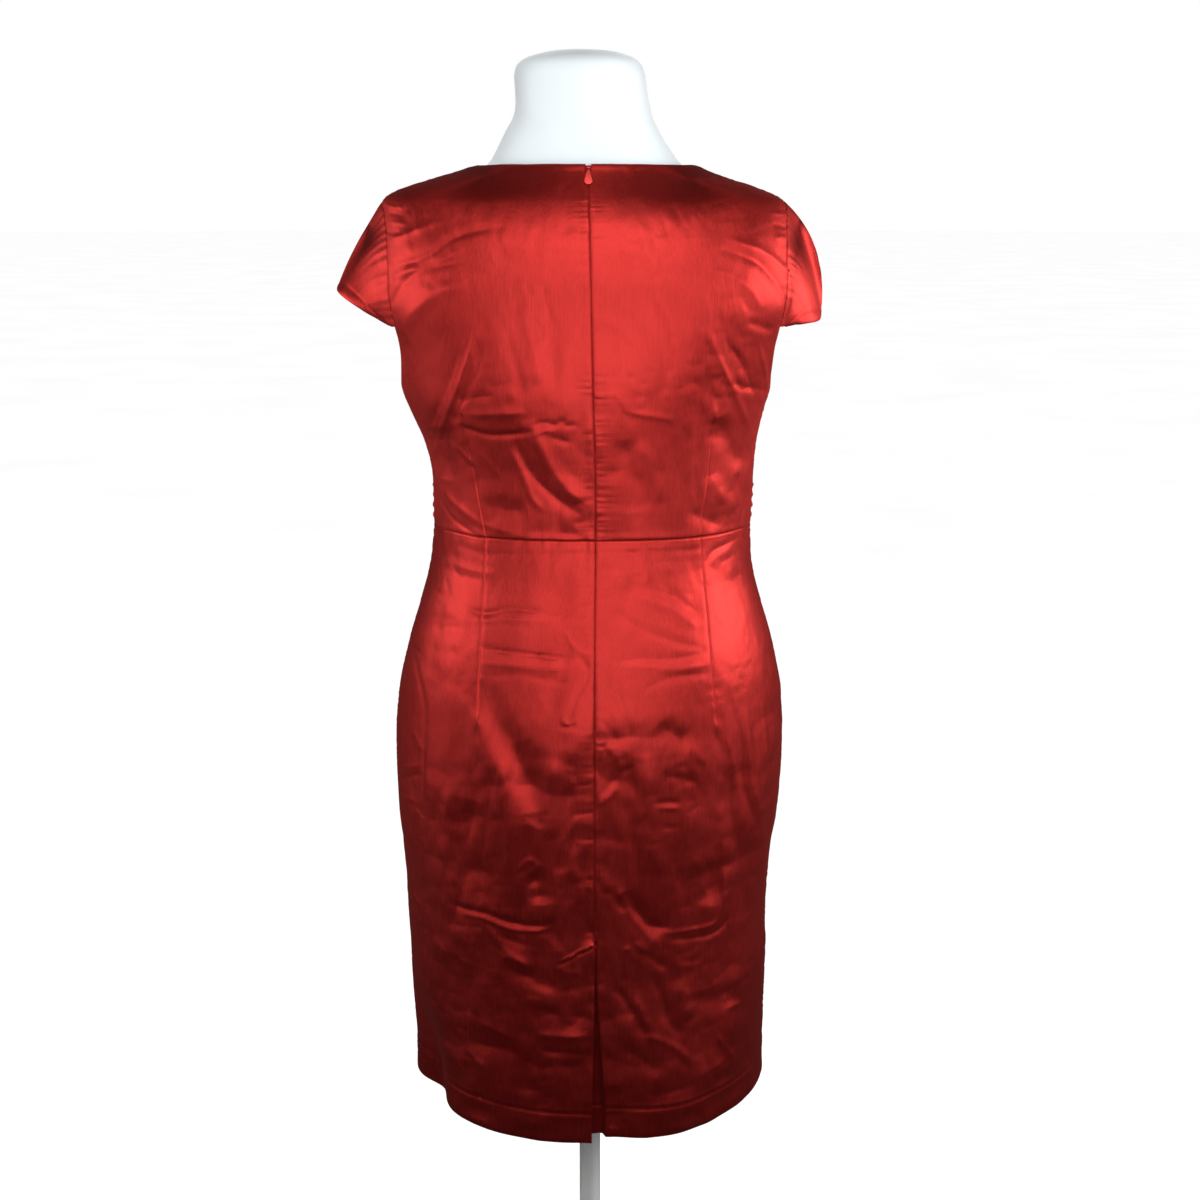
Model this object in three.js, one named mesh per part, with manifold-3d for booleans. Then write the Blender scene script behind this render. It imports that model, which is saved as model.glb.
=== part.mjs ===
// Cocktail dress on a limbless dress form with a round-base stand.
// Millimetres, +Z up, origin on the floor under the centre of the base.
// The dress's back (with its zip and vent) faces -Y, its front faces +Y,
// and the wearer's right is +X.
import * as THREE from 'three';
import Module from 'manifold-3d';
import { mergeVertices } from 'three/addons/utils/BufferGeometryUtils.js';

const wasm = await Module();
wasm.setup();

// ---------------------------------------------------------------- sizes
const WALL = 1.8;            // cloth with its seam and hem turnings, pressed
const SEAM_GAP = 0.3;        // between two pieces at a seam
const NECK_Z = 1400;         // neckline at the back and the neck points
const FRONT_NECK_Z = 1316;   // lowest point of the front neckline
const ARM_Z = 1276;          // centre of the armhole
const ARM_HALF_H = 90;       // armhole half height, underarm to shoulder tip
const ARM_BACK = 52;         // armhole half depth at the back
const ARM_FRONT = 56;        // armhole half depth at the front
const WAIST_Z = 1051;        // waist seam
const HEM_SIDE_Z = 469;      // hem at the side seams
const HEM_BACK_Z = 461;      // hem at centre back
const HEM_FRONT_Z = 466;     // hem at centre front
const VENT_TOP_Z = 664;      // top of the back vent
const VENT_LAP = 26;         // how far the right back runs under the left
const VENT_SINK = 3.2;       // underlap below the overlap, at the vent's top
const VENT_SINK_HEM = 9;     // and at the hem
const ZIP_END_Z = 940;       // bottom stop of the zip
const ZIP_CHAIN_W = 6;
const ZIP_CHAIN_T = 1.4;
const SLEEVE_FROM = 72;      // armhole angle where the cap sleeve starts, degrees
const ARM_STEPS = 10;        // rows up the armhole

const BASE_R = 200;          // stand
const BASE_H = 12;
const BASE_EDGE = 3;
const POLE_R = 11;
const COLLAR_R = 24;
const COLLAR_H = 30;
const FORM_BOTTOM_Z = 800;   // the form ends at the upper thigh
const FORM_SEGMENTS = 40;

// ------------------------------------------------- dress sections, outer face
// z height, cx middle, a half width, b depth to the back, f depth to the front,
// nb/mb fullness of the back curve across and deep, nf/mf of the front curve.
const SECTIONS = [
  { z: 440,  cx: 0.5,  a: 182,   b: 164, f: 124, nb: 2.4, mb: 1.75, nf: 2.2, mf: 1.9 },
  { z: 505,  cx: 0.0,  a: 182.2, b: 160, f: 122, nb: 2.4, mb: 1.80, nf: 2.2, mf: 1.9 },
  { z: 573,  cx: -1.0, a: 185,   b: 155, f: 120, nb: 2.3, mb: 1.85, nf: 2.2, mf: 1.9 },
  { z: 640,  cx: -2.4, a: 185.6, b: 151, f: 118, nb: 2.2, mb: 1.90, nf: 2.2, mf: 1.9 },
  { z: 706,  cx: -2.1, a: 188.8, b: 150, f: 118, nb: 2.2, mb: 1.90, nf: 2.2, mf: 1.9 },
  { z: 771,  cx: -1.0, a: 195.4, b: 150, f: 119, nb: 2.2, mb: 1.90, nf: 2.2, mf: 1.9 },
  { z: 835,  cx: 0.0,  a: 197.5, b: 149, f: 120, nb: 2.2, mb: 1.90, nf: 2.2, mf: 1.9 },
  { z: 888,  cx: 0.5,  a: 192.8, b: 145, f: 119, nb: 2.3, mb: 1.85, nf: 2.2, mf: 1.9 },
  { z: 930,  cx: 1.5,  a: 183.9, b: 136, f: 116, nb: 2.4, mb: 1.80, nf: 2.2, mf: 1.9 },
  { z: 971,  cx: 1.5,  a: 172,   b: 124, f: 110, nb: 2.5, mb: 1.75, nf: 2.2, mf: 1.9 },
  { z: 1012, cx: 2.0,  a: 160.9, b: 112, f: 103, nb: 2.6, mb: 1.65, nf: 2.2, mf: 1.9 },
  { z: 1051, cx: 3.0,  a: 158,   b: 106, f: 99,  nb: 2.7, mb: 1.60, nf: 2.2, mf: 1.9 },
  { z: 1094, cx: 4.2,  a: 158.7, b: 108, f: 106, nb: 2.6, mb: 1.65, nf: 2.2, mf: 1.9 },
  { z: 1134, cx: 1.5,  a: 164,   b: 112, f: 122, nb: 2.5, mb: 1.75, nf: 2.3, mf: 1.9 },
  { z: 1183, cx: -3.0, a: 181,   b: 117, f: 136, nb: 2.4, mb: 1.85, nf: 2.3, mf: 1.9 },
  { z: 1226, cx: -1.0, a: 190,   b: 119, f: 134, nb: 2.4, mb: 2.00, nf: 2.4, mf: 2.0 },
  { z: 1276, cx: -0.5, a: 206,   b: 119, f: 122, nb: 2.4, mb: 2.10, nf: 2.4, mf: 2.1 },
  { z: 1320, cx: -1.0, a: 203,   b: 113, f: 108, nb: 2.4, mb: 2.10, nf: 2.4, mf: 2.1 },
  { z: 1345, cx: -2.0, a: 199,   b: 106, f: 98,  nb: 2.3, mb: 2.10, nf: 2.3, mf: 2.1 },
  { z: 1366, cx: -5.0, a: 194,   b: 97,  f: 89,  nb: 2.2, mb: 2.05, nf: 2.2, mf: 2.0 },
  { z: 1376, cx: -8.0, a: 177,   b: 91,  f: 84,  nb: 2.1, mb: 2.00, nf: 2.1, mf: 2.0 },
  { z: 1385, cx: -8.0, a: 149,   b: 85,  f: 79,  nb: 2.0, mb: 2.00, nf: 2.0, mf: 2.0 },
  { z: 1394, cx: -5.0, a: 120,   b: 79,  f: 75,  nb: 2.0, mb: 2.00, nf: 2.0, mf: 2.0 },
  { z: 1402, cx: -1.0, a: 98,    b: 75,  f: 72,  nb: 2.0, mb: 2.00, nf: 2.0, mf: 2.0 },
];

// centre-back seam: x at height z
const CENTRE_BACK = [
  { z: 440, x: 1.0 }, { z: 553, x: 2.9 }, { z: 663, x: 4.8 }, { z: 760, x: 5.7 },
  { z: 952, x: 5.7 }, { z: 1051, x: 6.6 }, { z: 1090, x: 6.6 }, { z: 1186, x: 4.6 },
  { z: 1278, x: 2.7 }, { z: 1402, x: 0.0 },
];

// The form: rings of its torso and neck. y0 is the ring's middle, b and f its depth.
const FORM_RINGS = [
  { z: 800,  cx: 0,    y0: 0, a: 166, b: 118, f: 98,  n: 2.3 },
  { z: 806,  cx: 0,    y0: 0, a: 176, b: 128, f: 106, n: 2.3 },
  { z: 820,  cx: 0,    y0: 0, a: 183, b: 135, f: 109, n: 2.2 },
  { z: 850,  cx: 0,    y0: 0, a: 187, b: 138, f: 111, n: 2.1 },
  { z: 888,  cx: 0.5,  y0: 0, a: 184, b: 135, f: 110, n: 2.1 },
  { z: 930,  cx: 1.5,  y0: 0, a: 175, b: 126, f: 107, n: 2.1 },
  { z: 971,  cx: 1.5,  y0: 0, a: 163, b: 114, f: 101, n: 2.0 },
  { z: 1012, cx: 2.0,  y0: 0, a: 150, b: 99,  f: 93,  n: 2.0 },
  { z: 1051, cx: 3.0,  y0: 0, a: 145, b: 92,  f: 88,  n: 2.0 },
  { z: 1094, cx: 4.0,  y0: 0, a: 147, b: 95,  f: 95,  n: 2.0 },
  { z: 1134, cx: 1.5,  y0: 0, a: 153, b: 100, f: 110, n: 2.0 },
  { z: 1183, cx: -2.0, y0: 0, a: 166, b: 107, f: 125, n: 2.1 },
  { z: 1226, cx: -1.0, y0: 0, a: 174, b: 110, f: 123, n: 2.1 },
  { z: 1276, cx: -0.5, y0: 0, a: 182, b: 110, f: 111, n: 2.1 },
  { z: 1320, cx: -1.0, y0: 0, a: 186, b: 104, f: 98,  n: 2.1 },
  { z: 1345, cx: -2.0, y0: 0, a: 184, b: 96,  f: 88,  n: 2.1 },
  { z: 1361, cx: -4.0, y0: 0, a: 173, b: 88,  f: 81,  n: 2.0 },
  { z: 1371, cx: -7.0, y0: 0, a: 158, b: 82,  f: 76,  n: 2.0 },
  { z: 1381, cx: -7.0, y0: 0, a: 132, b: 76,  f: 71,  n: 2.0 },
  { z: 1391, cx: -5.0, y0: 0, a: 107, b: 70,  f: 67,  n: 2.0 },
  { z: 1402, cx: -4.0, y0: 1, a: 92,  b: 65,  f: 64,  n: 2.0 },
  { z: 1414, cx: -5.0, y0: 3, a: 84,  b: 62,  f: 62,  n: 2.0 },
  { z: 1430, cx: -6.0, y0: 5, a: 75,  b: 60,  f: 61,  n: 2.0 },
  { z: 1448, cx: -5.5, y0: 7, a: 66.5, b: 59, f: 60,  n: 2.0 },
  { z: 1466, cx: -7.0, y0: 8, a: 64,  b: 59,  f: 59,  n: 2.0 },
  { z: 1482, cx: -8.5, y0: 9, a: 63.5, b: 59, f: 59,  n: 2.0 },
  { z: 1492, cx: -9.0, y0: 9, a: 60.5, b: 56, f: 56,  n: 2.0 },
  { z: 1499, cx: -8.5, y0: 9, a: 53,  b: 49,  f: 49,  n: 2.0 },
  { z: 1504, cx: -7.0, y0: 9, a: 38,  b: 36,  f: 36,  n: 2.0 },
];
const NECK_CAP_Z = 1507;     // top of the neck's shallow dome

// Large soft folds, outer face. where: back or front; s mm along the section from
// the centre line (+X positive) and z at each end; w half width; h height, in or out.
const FOLDS = [
  { where: 'back',  s0: -152, z0: 648, s1: -42,  z1: 622, w: 15, h: -3.4 },
  { where: 'back',  s0: -150, z0: 676, s1: -50,  z1: 655, w: 16, h: 2.6 },
  { where: 'back',  s0: 18,   z0: 728, s1: 72,   z1: 664, w: 13, h: -3.6 },
  { where: 'back',  s0: 60,   z0: 690, s1: 150,  z1: 640, w: 20, h: 2.4 },
  { where: 'back',  s0: -208, z0: 560, s1: -204, z1: 430, w: 24, h: -19 },
  { where: 'back',  s0: 168,  z0: 850, s1: 186,  z1: 690, w: 14, h: -2.6 },
  { where: 'back',  s0: -225, z0: 1150, s1: -120, z1: 1230, w: 14, h: 2.4 },
  { where: 'back',  s0: 120,  z0: 1150, s1: 210,  z1: 1100, w: 14, h: -2.2 },
  { where: 'front', s0: -140, z0: 700, s1: -50,  z1: 640, w: 18, h: -3.0 },
  { where: 'front', s0: 30,   z0: 660, s1: 140,  z1: 700, w: 18, h: -3.2 },
  { where: 'front', s0: 60,   z0: 560, s1: 84,   z1: 452, w: 24, h: 4.0 },
  { where: 'front', s0: -80,  z0: 590, s1: -96,  z1: 452, w: 26, h: 4.4 },
  { where: 'front', s0: -110, z0: 900, s1: 100,  z1: 905, w: 16, h: -2.4 },
];

// Tucks sewn into each side seam of the front bodice, just above the waist.
const TUCKS = [
  { z: 1059, h: 1.8, reach: 150 },
  { z: 1069, h: 2.2, reach: 185 },
  { z: 1079, h: 2.0, reach: 165 },
  { z: 1088.5, h: 1.6, reach: 130 },
];
const TUCK_HALF = 5;         // half spacing of the tucks

// ------------------------------------------------------------- interpolation
function slopes(rows, key) {
  const n = rows.length, d = [], m = [];
  for (let i = 0; i < n - 1; i++) d.push((rows[i + 1][key] - rows[i][key]) / (rows[i + 1].z - rows[i].z));
  for (let i = 0; i < n; i++) {
    if (i === 0) m.push(d[0]);
    else if (i === n - 1) m.push(d[n - 2]);
    else if (d[i - 1] * d[i] <= 0) m.push(0);
    else m.push(2 * d[i - 1] * d[i] / (d[i - 1] + d[i]));
  }
  return m;
}
const slopeCache = new Map();
function at(rows, key, z) {
  if (!slopeCache.has(rows)) slopeCache.set(rows, {});
  const cache = slopeCache.get(rows);
  if (!cache[key]) cache[key] = slopes(rows, key);
  const m = cache[key];
  let i = 0;
  while (i < rows.length - 2 && z > rows[i + 1].z) i++;
  const h = rows[i + 1].z - rows[i].z;
  const t = Math.min(Math.max((z - rows[i].z) / h, -0.2), 1.2);
  const a = rows[i][key], b = rows[i + 1][key];
  const t2 = t * t, t3 = t2 * t;
  return (2 * t3 - 3 * t2 + 1) * a + (t3 - 2 * t2 + t) * h * m[i] + (3 * t2 - 2 * t3) * b + (t3 - t2) * h * m[i + 1];
}
const smooth = (x) => { const t = Math.min(Math.max(x, 0), 1); return t * t * (3 - 2 * t); };

// --------------------------------------------------------- sections by length
// Half a section, from its centre line to its side, as arc length against angle.
const HALF_STEPS = 96;
const sectionCache = new Map();
function halfSection(where, z) {
  const key = where + z.toFixed(4);
  if (sectionCache.has(key)) return sectionCache.get(key);
  const a = at(SECTIONS, 'a', z);
  const d = at(SECTIONS, where === 'back' ? 'b' : 'f', z) * (where === 'back' ? -1 : 1);
  const n = at(SECTIONS, where === 'back' ? 'nb' : 'nf', z);
  const m = at(SECTIONS, where === 'back' ? 'mb' : 'mf', z);
  const pts = [];
  let len = 0;
  for (let i = 0; i <= HALF_STEPS; i++) {
    const t = Math.PI / 2 * i / HALF_STEPS;
    const x = i === HALF_STEPS ? a : a * Math.pow(Math.sin(t), 2 / n);
    const y = i === HALF_STEPS ? 0 : d * Math.pow(Math.cos(t), 2 / m);
    if (i) len += Math.hypot(x - pts[i - 1].x, y - pts[i - 1].y);
    pts.push({ x, y, len });
  }
  const sec = { pts, len, cx: at(SECTIONS, 'cx', z) };
  sectionCache.set(key, sec);
  return sec;
}
function onSection(where, s, z) {
  const sec = halfSection(where, z);
  const q = Math.min(Math.abs(s), sec.len), side = s < 0 ? -1 : 1;
  let i = 1;
  while (i < HALF_STEPS && sec.pts[i].len < q) i++;
  const p = sec.pts[i - 1], r = sec.pts[i];
  const k = (q - p.len) / (r.len - p.len);
  return new THREE.Vector3(sec.cx + side * (p.x + (r.x - p.x) * k), p.y + (r.y - p.y) * k, z);
}
function lengthAtDepth(where, y, z) {       // arc length from the centre to depth |y|
  const { pts } = halfSection(where, z);
  let i = HALF_STEPS;
  while (i > 1 && Math.abs(pts[i - 1].y) < y) i--;
  const p = pts[i - 1], r = pts[i];
  const k = (Math.abs(p.y) - y) / (Math.abs(p.y) - Math.abs(r.y));
  return p.len + (r.len - p.len) * k;
}

function foldHeight(where, s, z) {
  let h = 0;
  for (const f of FOLDS) {
    if (f.where !== where) continue;
    const dx = f.s1 - f.s0, dz = f.z1 - f.z0, ll = dx * dx + dz * dz;
    const k = ((s - f.s0) * dx + (z - f.z0) * dz) / ll;
    const c = Math.min(Math.max(k, 0), 1);
    const across = Math.hypot(s - f.s0 - dx * c, z - f.z0 - dz * c);
    const along = Math.sin(Math.PI * Math.min(Math.max((k + 0.15) / 1.3, 0), 1));
    h += f.h * along * Math.exp(-0.5 * (across / f.w) ** 2);
  }
  return h;
}
function tuckHeight(s, z) {
  const half = halfSection('front', z).len;
  let h = 0;
  for (const t of TUCKS) {
    const dz = Math.abs(z - t.z);
    if (dz > TUCK_HALF) continue;
    const inward = half - Math.abs(s);
    h += t.h * Math.cos(Math.PI / 2 * dz / TUCK_HALF) ** 2 * (1 - smooth(inward / t.reach));
  }
  return h;
}

// One surface point with its outward normal, displaced by folds and by lift.
function surface(where, s, z, lift = 0) {
  const e = 0.5;
  const ds = onSection(where, s + e, z).sub(onSection(where, s - e, z));
  const half = halfSection(where, z).len;
  const frac = s / half;
  const up = onSection(where, frac * halfSection(where, z + e).len, z + e);
  const dn = onSection(where, frac * halfSection(where, z - e).len, z - e);
  const dz = up.sub(dn);
  const n = ds.cross(dz).normalize();
  if (n.y * (where === 'back' ? -1 : 1) < 0) n.negate();
  if (Math.abs(Math.abs(s) - half) < 0.6) n.setY(0).normalize();
  if (Math.abs(n.x) > 0.2 && n.x * s < 0) n.negate();
  const p = onSection(where, s, z);
  const fade = smooth((WAIST_Z - 10 - z) / 40) + smooth((z - WAIST_Z - 45) / 30);
  const edge = smooth((half - Math.abs(s)) / 12);
  let h = lift + foldHeight(where, s, z) * Math.min(fade, 1) * edge;
  if (where === 'front' && z > WAIST_Z) h += tuckHeight(s, z);
  return { p: p.addScaledVector(n, h), n };
}

// ------------------------------------------------------------------ meshes
function closeMesh(positions, index) {
  const g = new THREE.BufferGeometry();
  g.setAttribute('position', new THREE.Float32BufferAttribute(positions, 3));
  g.setIndex(index);
  return g;
}
function volume(positions, index) {
  let v = 0;
  const P = (i) => new THREE.Vector3(positions[3 * i], positions[3 * i + 1], positions[3 * i + 2]);
  for (let i = 0; i < index.length; i += 3) v += P(index[i]).dot(P(index[i + 1]).cross(P(index[i + 2])));
  return v / 6;
}
// A wall from a grid of outer points and normals: rows of columns.
function wall(grid, thickness = WALL) {
  const R = grid.length, C = grid[0].length, pos = [], idx = [];
  for (const row of grid) for (const v of row) pos.push(v.p.x, v.p.y, v.p.z);
  for (const row of grid) for (const v of row) {
    const q = v.p.clone().addScaledVector(v.n, -(v.t ?? thickness));
    pos.push(q.x, q.y, q.z);
  }
  const o = (i, j) => i * C + j, n = (i, j) => R * C + i * C + j;
  const quad = (a, b, c, d) => idx.push(a, b, c, a, c, d);
  for (let i = 0; i < R - 1; i++) for (let j = 0; j < C - 1; j++) {
    quad(o(i, j), o(i, j + 1), o(i + 1, j + 1), o(i + 1, j));
    quad(n(i, j), n(i + 1, j), n(i + 1, j + 1), n(i, j + 1));
  }
  for (let j = 0; j < C - 1; j++) {
    quad(o(0, j), n(0, j), n(0, j + 1), o(0, j + 1));
    quad(o(R - 1, j), o(R - 1, j + 1), n(R - 1, j + 1), n(R - 1, j));
  }
  for (let i = 0; i < R - 1; i++) {
    quad(o(i, 0), o(i + 1, 0), n(i + 1, 0), n(i, 0));
    quad(o(i, C - 1), n(i, C - 1), n(i + 1, C - 1), o(i + 1, C - 1));
  }
  if (volume(pos, idx) < 0) for (let i = 0; i < idx.length; i += 3) [idx[i], idx[i + 1]] = [idx[i + 1], idx[i]];
  return closeMesh(pos, idx);
}
// A solid from closed rings stacked upward, with a point at each end.
function stack(rings, low, high) {
  const R = rings.length, C = rings[0].length, pos = [], idx = [];
  for (const ring of rings) for (const p of ring) pos.push(p.x, p.y, p.z);
  pos.push(low.x, low.y, low.z, high.x, high.y, high.z);
  for (let i = 0; i < R - 1; i++) for (let j = 0; j < C; j++) {
    const k = (j + 1) % C;
    idx.push(i * C + j, i * C + k, (i + 1) * C + k, i * C + j, (i + 1) * C + k, (i + 1) * C + j);
  }
  for (let j = 0; j < C; j++) {
    const k = (j + 1) % C;
    idx.push(R * C, k, j, R * C + 1, (R - 1) * C + j, (R - 1) * C + k);
  }
  if (volume(pos, idx) < 0) for (let i = 0; i < idx.length; i += 3) [idx[i], idx[i + 1]] = [idx[i + 1], idx[i]];
  return closeMesh(pos, idx);
}
function toManifold(geometry) {
  const g = geometry.clone();
  g.deleteAttribute('normal');
  g.deleteAttribute('uv');
  const m = mergeVertices(g, 1e-4);
  return new wasm.Manifold(new wasm.Mesh({
    numProp: 3,
    vertProperties: new Float32Array(m.attributes.position.array),
    triVerts: new Uint32Array(m.index.array),
  }));
}
function fromManifold(solid) {
  const m = solid.getMesh();
  return closeMesh(Array.from(m.vertProperties), Array.from(m.triVerts));
}

const SATIN = new THREE.MeshStandardMaterial({ color: 0xa81f18, roughness: 0.35, metalness: 0 });
const ZIP_PAINT = new THREE.MeshStandardMaterial({ color: 0xb3261d, roughness: 0.4, metalness: 0.1 });
const ZIP_TAPE = new THREE.MeshStandardMaterial({ color: 0x8c1a15, roughness: 0.8, metalness: 0 });
const FORM_COVER = new THREE.MeshStandardMaterial({ color: 0xf0f2f5, roughness: 0.6, metalness: 0 });
const STAND_PAINT = new THREE.MeshStandardMaterial({ color: 0xe9e9e8, roughness: 0.4, metalness: 0.2 });

const dress = new THREE.Group();
dress.name = 'cocktail_dress_on_form';
function add(name, geometry, material, parent = dress) {
  const mesh = new THREE.Mesh(geometry, material);
  mesh.name = name;
  parent.add(mesh);
  return mesh;
}

// -------------------------------------------------------------- panel rows
const armRows = [];          // armhole rows: angle from underarm (0) to tip (180)
for (let i = 1; i <= ARM_STEPS; i++) {
  const deg = 180 * i / ARM_STEPS, r = deg * Math.PI / 180;
  armRows.push({ deg, z: ARM_Z - ARM_HALF_H * Math.cos(r), reach: Math.sin(r) });
}
const UNDERARM_Z = ARM_Z - ARM_HALF_H;
const shoulderRows = [1376, 1385, 1393, NECK_Z].map((z) => ({ z, reach: 0 }));
const lowerBack = [WAIST_Z + SEAM_GAP / 2, 1072, 1094, 1114, 1134, 1160, UNDERARM_Z].map((z) => ({ z, reach: 0 }));
const lowerFront = [WAIST_Z + SEAM_GAP / 2, 1054, 1059, 1064, 1069, 1074, 1079, 1084, 1088.5, 1094, 1114, 1134, 1160, UNDERARM_Z]
  .map((z) => ({ z, reach: 0 }));
const skirtRows = [WAIST_Z - SEAM_GAP / 2, 1035, 1012, 990, 965, ZIP_END_Z, 905, 870, 835, 800, 765, 730, 698, 676, 668, 656, 632, 600, 565, 530, 497, HEM_SIDE_Z];
const frontSkirtRows = [WAIST_Z - SEAM_GAP / 2, 1035, 1012, 985, 955, 920, 880, 835, 790, 745, 700, 660, 620, 580, 540, 504, HEM_SIDE_Z];

const edgeLength = (where, row) => {
  const half = halfSection(where, row.z).len;
  if (!row.reach || row.reach < 1e-6) return half;
  return lengthAtDepth(where, row.reach * (where === 'back' ? ARM_BACK : ARM_FRONT), row.z);
};
const centreBack = (z) => at(CENTRE_BACK, 'x', z) - at(SECTIONS, 'cx', z);

// ------------------------------------------------------------ back bodice
const BACK_COLS = 12;
for (const side of [-1, 1]) {
  const rows = [...lowerBack, ...armRows, ...shoulderRows];
  const grid = rows.map((row) => {
    const notch = 2.6 * smooth((row.z - 1386) / 14);       // the zip's open top
    const from = centreBack(row.z) + side * (SEAM_GAP / 2 + notch);
    const flat = edgeLength('back', row);
    const seam = row.reach > 1e-6 ? 0 : SEAM_GAP / 2;
    const to = side * (flat - seam);
    const cells = [];
    for (let j = 0; j <= BACK_COLS; j++) cells.push(surface('back', from + (to - from) * j / BACK_COLS, row.z));
    return cells;
  });
  for (const row of grid) {                                 // side and shoulder seams lie on one plane
    const v = row[BACK_COLS];
    if (v.p.y > -SEAM_GAP / 2) v.p.setY(-SEAM_GAP / 2);
  }
  add(side < 0 ? 'back_bodice_left' : 'back_bodice_right', wall(grid), SATIN);
}

// ----------------------------------------------------------- front bodice
const FRONT_COLS = 20;
{
  const rows = [...lowerFront, ...armRows, ...shoulderRows];
  const grid = rows.map((row) => {
    const half = edgeLength('front', row);
    const seam = row.reach > 1e-6 ? 0 : SEAM_GAP / 2;
    const cells = [];
    for (let j = 0; j <= FRONT_COLS; j++) {
      const u = 2 * j / FRONT_COLS - 1;
      const top = NECK_Z - (NECK_Z - FRONT_NECK_Z) * (1 - smooth(Math.abs(u) ** 1.15));
      const k = row.z <= UNDERARM_Z ? 1 : (top - UNDERARM_Z) / (NECK_Z - UNDERARM_Z);
      const z = row.z <= UNDERARM_Z ? row.z : UNDERARM_Z + (row.z - UNDERARM_Z) * k;
      const scale = halfSection('front', z).len / halfSection('front', row.z).len;
      const along = Math.abs(u) > 0.999 ? 1 : 1 + (scale - 1) * (1 - Math.abs(u) ** 3);
      cells.push(surface('front', u * (half - seam) * along, z));
    }
    return cells;
  });
  for (const row of grid) for (const v of [row[0], row[FRONT_COLS]]) if (v.p.y < SEAM_GAP / 2) v.p.setY(SEAM_GAP / 2);
  add('front_bodice', wall(grid), SATIN);
}

// ------------------------------------------------------------------ skirt
const hemZ = (where, s, half) => {
  const mid = where === 'back' ? HEM_BACK_Z : HEM_FRONT_Z;
  return HEM_SIDE_Z + (mid - HEM_SIDE_Z) * smooth(1 - Math.abs(s) / half * 0.9);
};
function skirtZ(where, rowZ, s) {
  const half = halfSection(where, rowZ).len;
  const drop = smooth((WAIST_Z - rowZ) / (WAIST_Z - HEM_SIDE_Z));
  return rowZ - (HEM_SIDE_Z - hemZ(where, s, half)) * drop * drop;
}
for (const side of [-1, 1]) {
  const grid = skirtRows.map((rowZ) => {
    const cb = centreBack(rowZ);
    const half = halfSection('back', rowZ).len;
    const below = rowZ < VENT_TOP_Z;
    let from = cb + side * SEAM_GAP / 2;
    if (side > 0 && below) from = cb - VENT_LAP;
    if (side < 0 && below) from = cb + 1.2;
    const to = side * (half - SEAM_GAP / 2);
    const cells = [];
    for (let j = 0; j <= BACK_COLS; j++) {
      const s = from + (to - from) * j / BACK_COLS;
      let lift = 0;
      if (side > 0 && rowZ < VENT_TOP_Z + 8) {
        const sink = VENT_SINK + (VENT_SINK_HEM - VENT_SINK) * smooth((VENT_TOP_Z - rowZ) / 170);
        lift = -sink * (1 - smooth((s - cb) / 46));
      }
      const z = skirtZ('back', rowZ, s);
      cells.push(surface('back', s, z, lift));
    }
    return cells;
  });
  for (const row of grid) { const v = row[BACK_COLS]; if (v.p.y > -SEAM_GAP / 2) v.p.setY(-SEAM_GAP / 2); }
  add(side < 0 ? 'back_skirt_left' : 'back_skirt_right', wall(grid), SATIN);
}
{
  const grid = frontSkirtRows.map((rowZ) => {
    const half = halfSection('front', rowZ).len - SEAM_GAP / 2;
    const cells = [];
    for (let j = 0; j <= FRONT_COLS; j++) {
      const s = half * (2 * j / FRONT_COLS - 1);
      cells.push(surface('front', s, skirtZ('front', rowZ, s)));
    }
    return cells;
  });
  for (const row of grid) for (const v of [row[0], row[FRONT_COLS]]) if (v.p.y < SEAM_GAP / 2) v.p.setY(SEAM_GAP / 2);
  add('front_skirt', wall(grid), SATIN);
}

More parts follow.
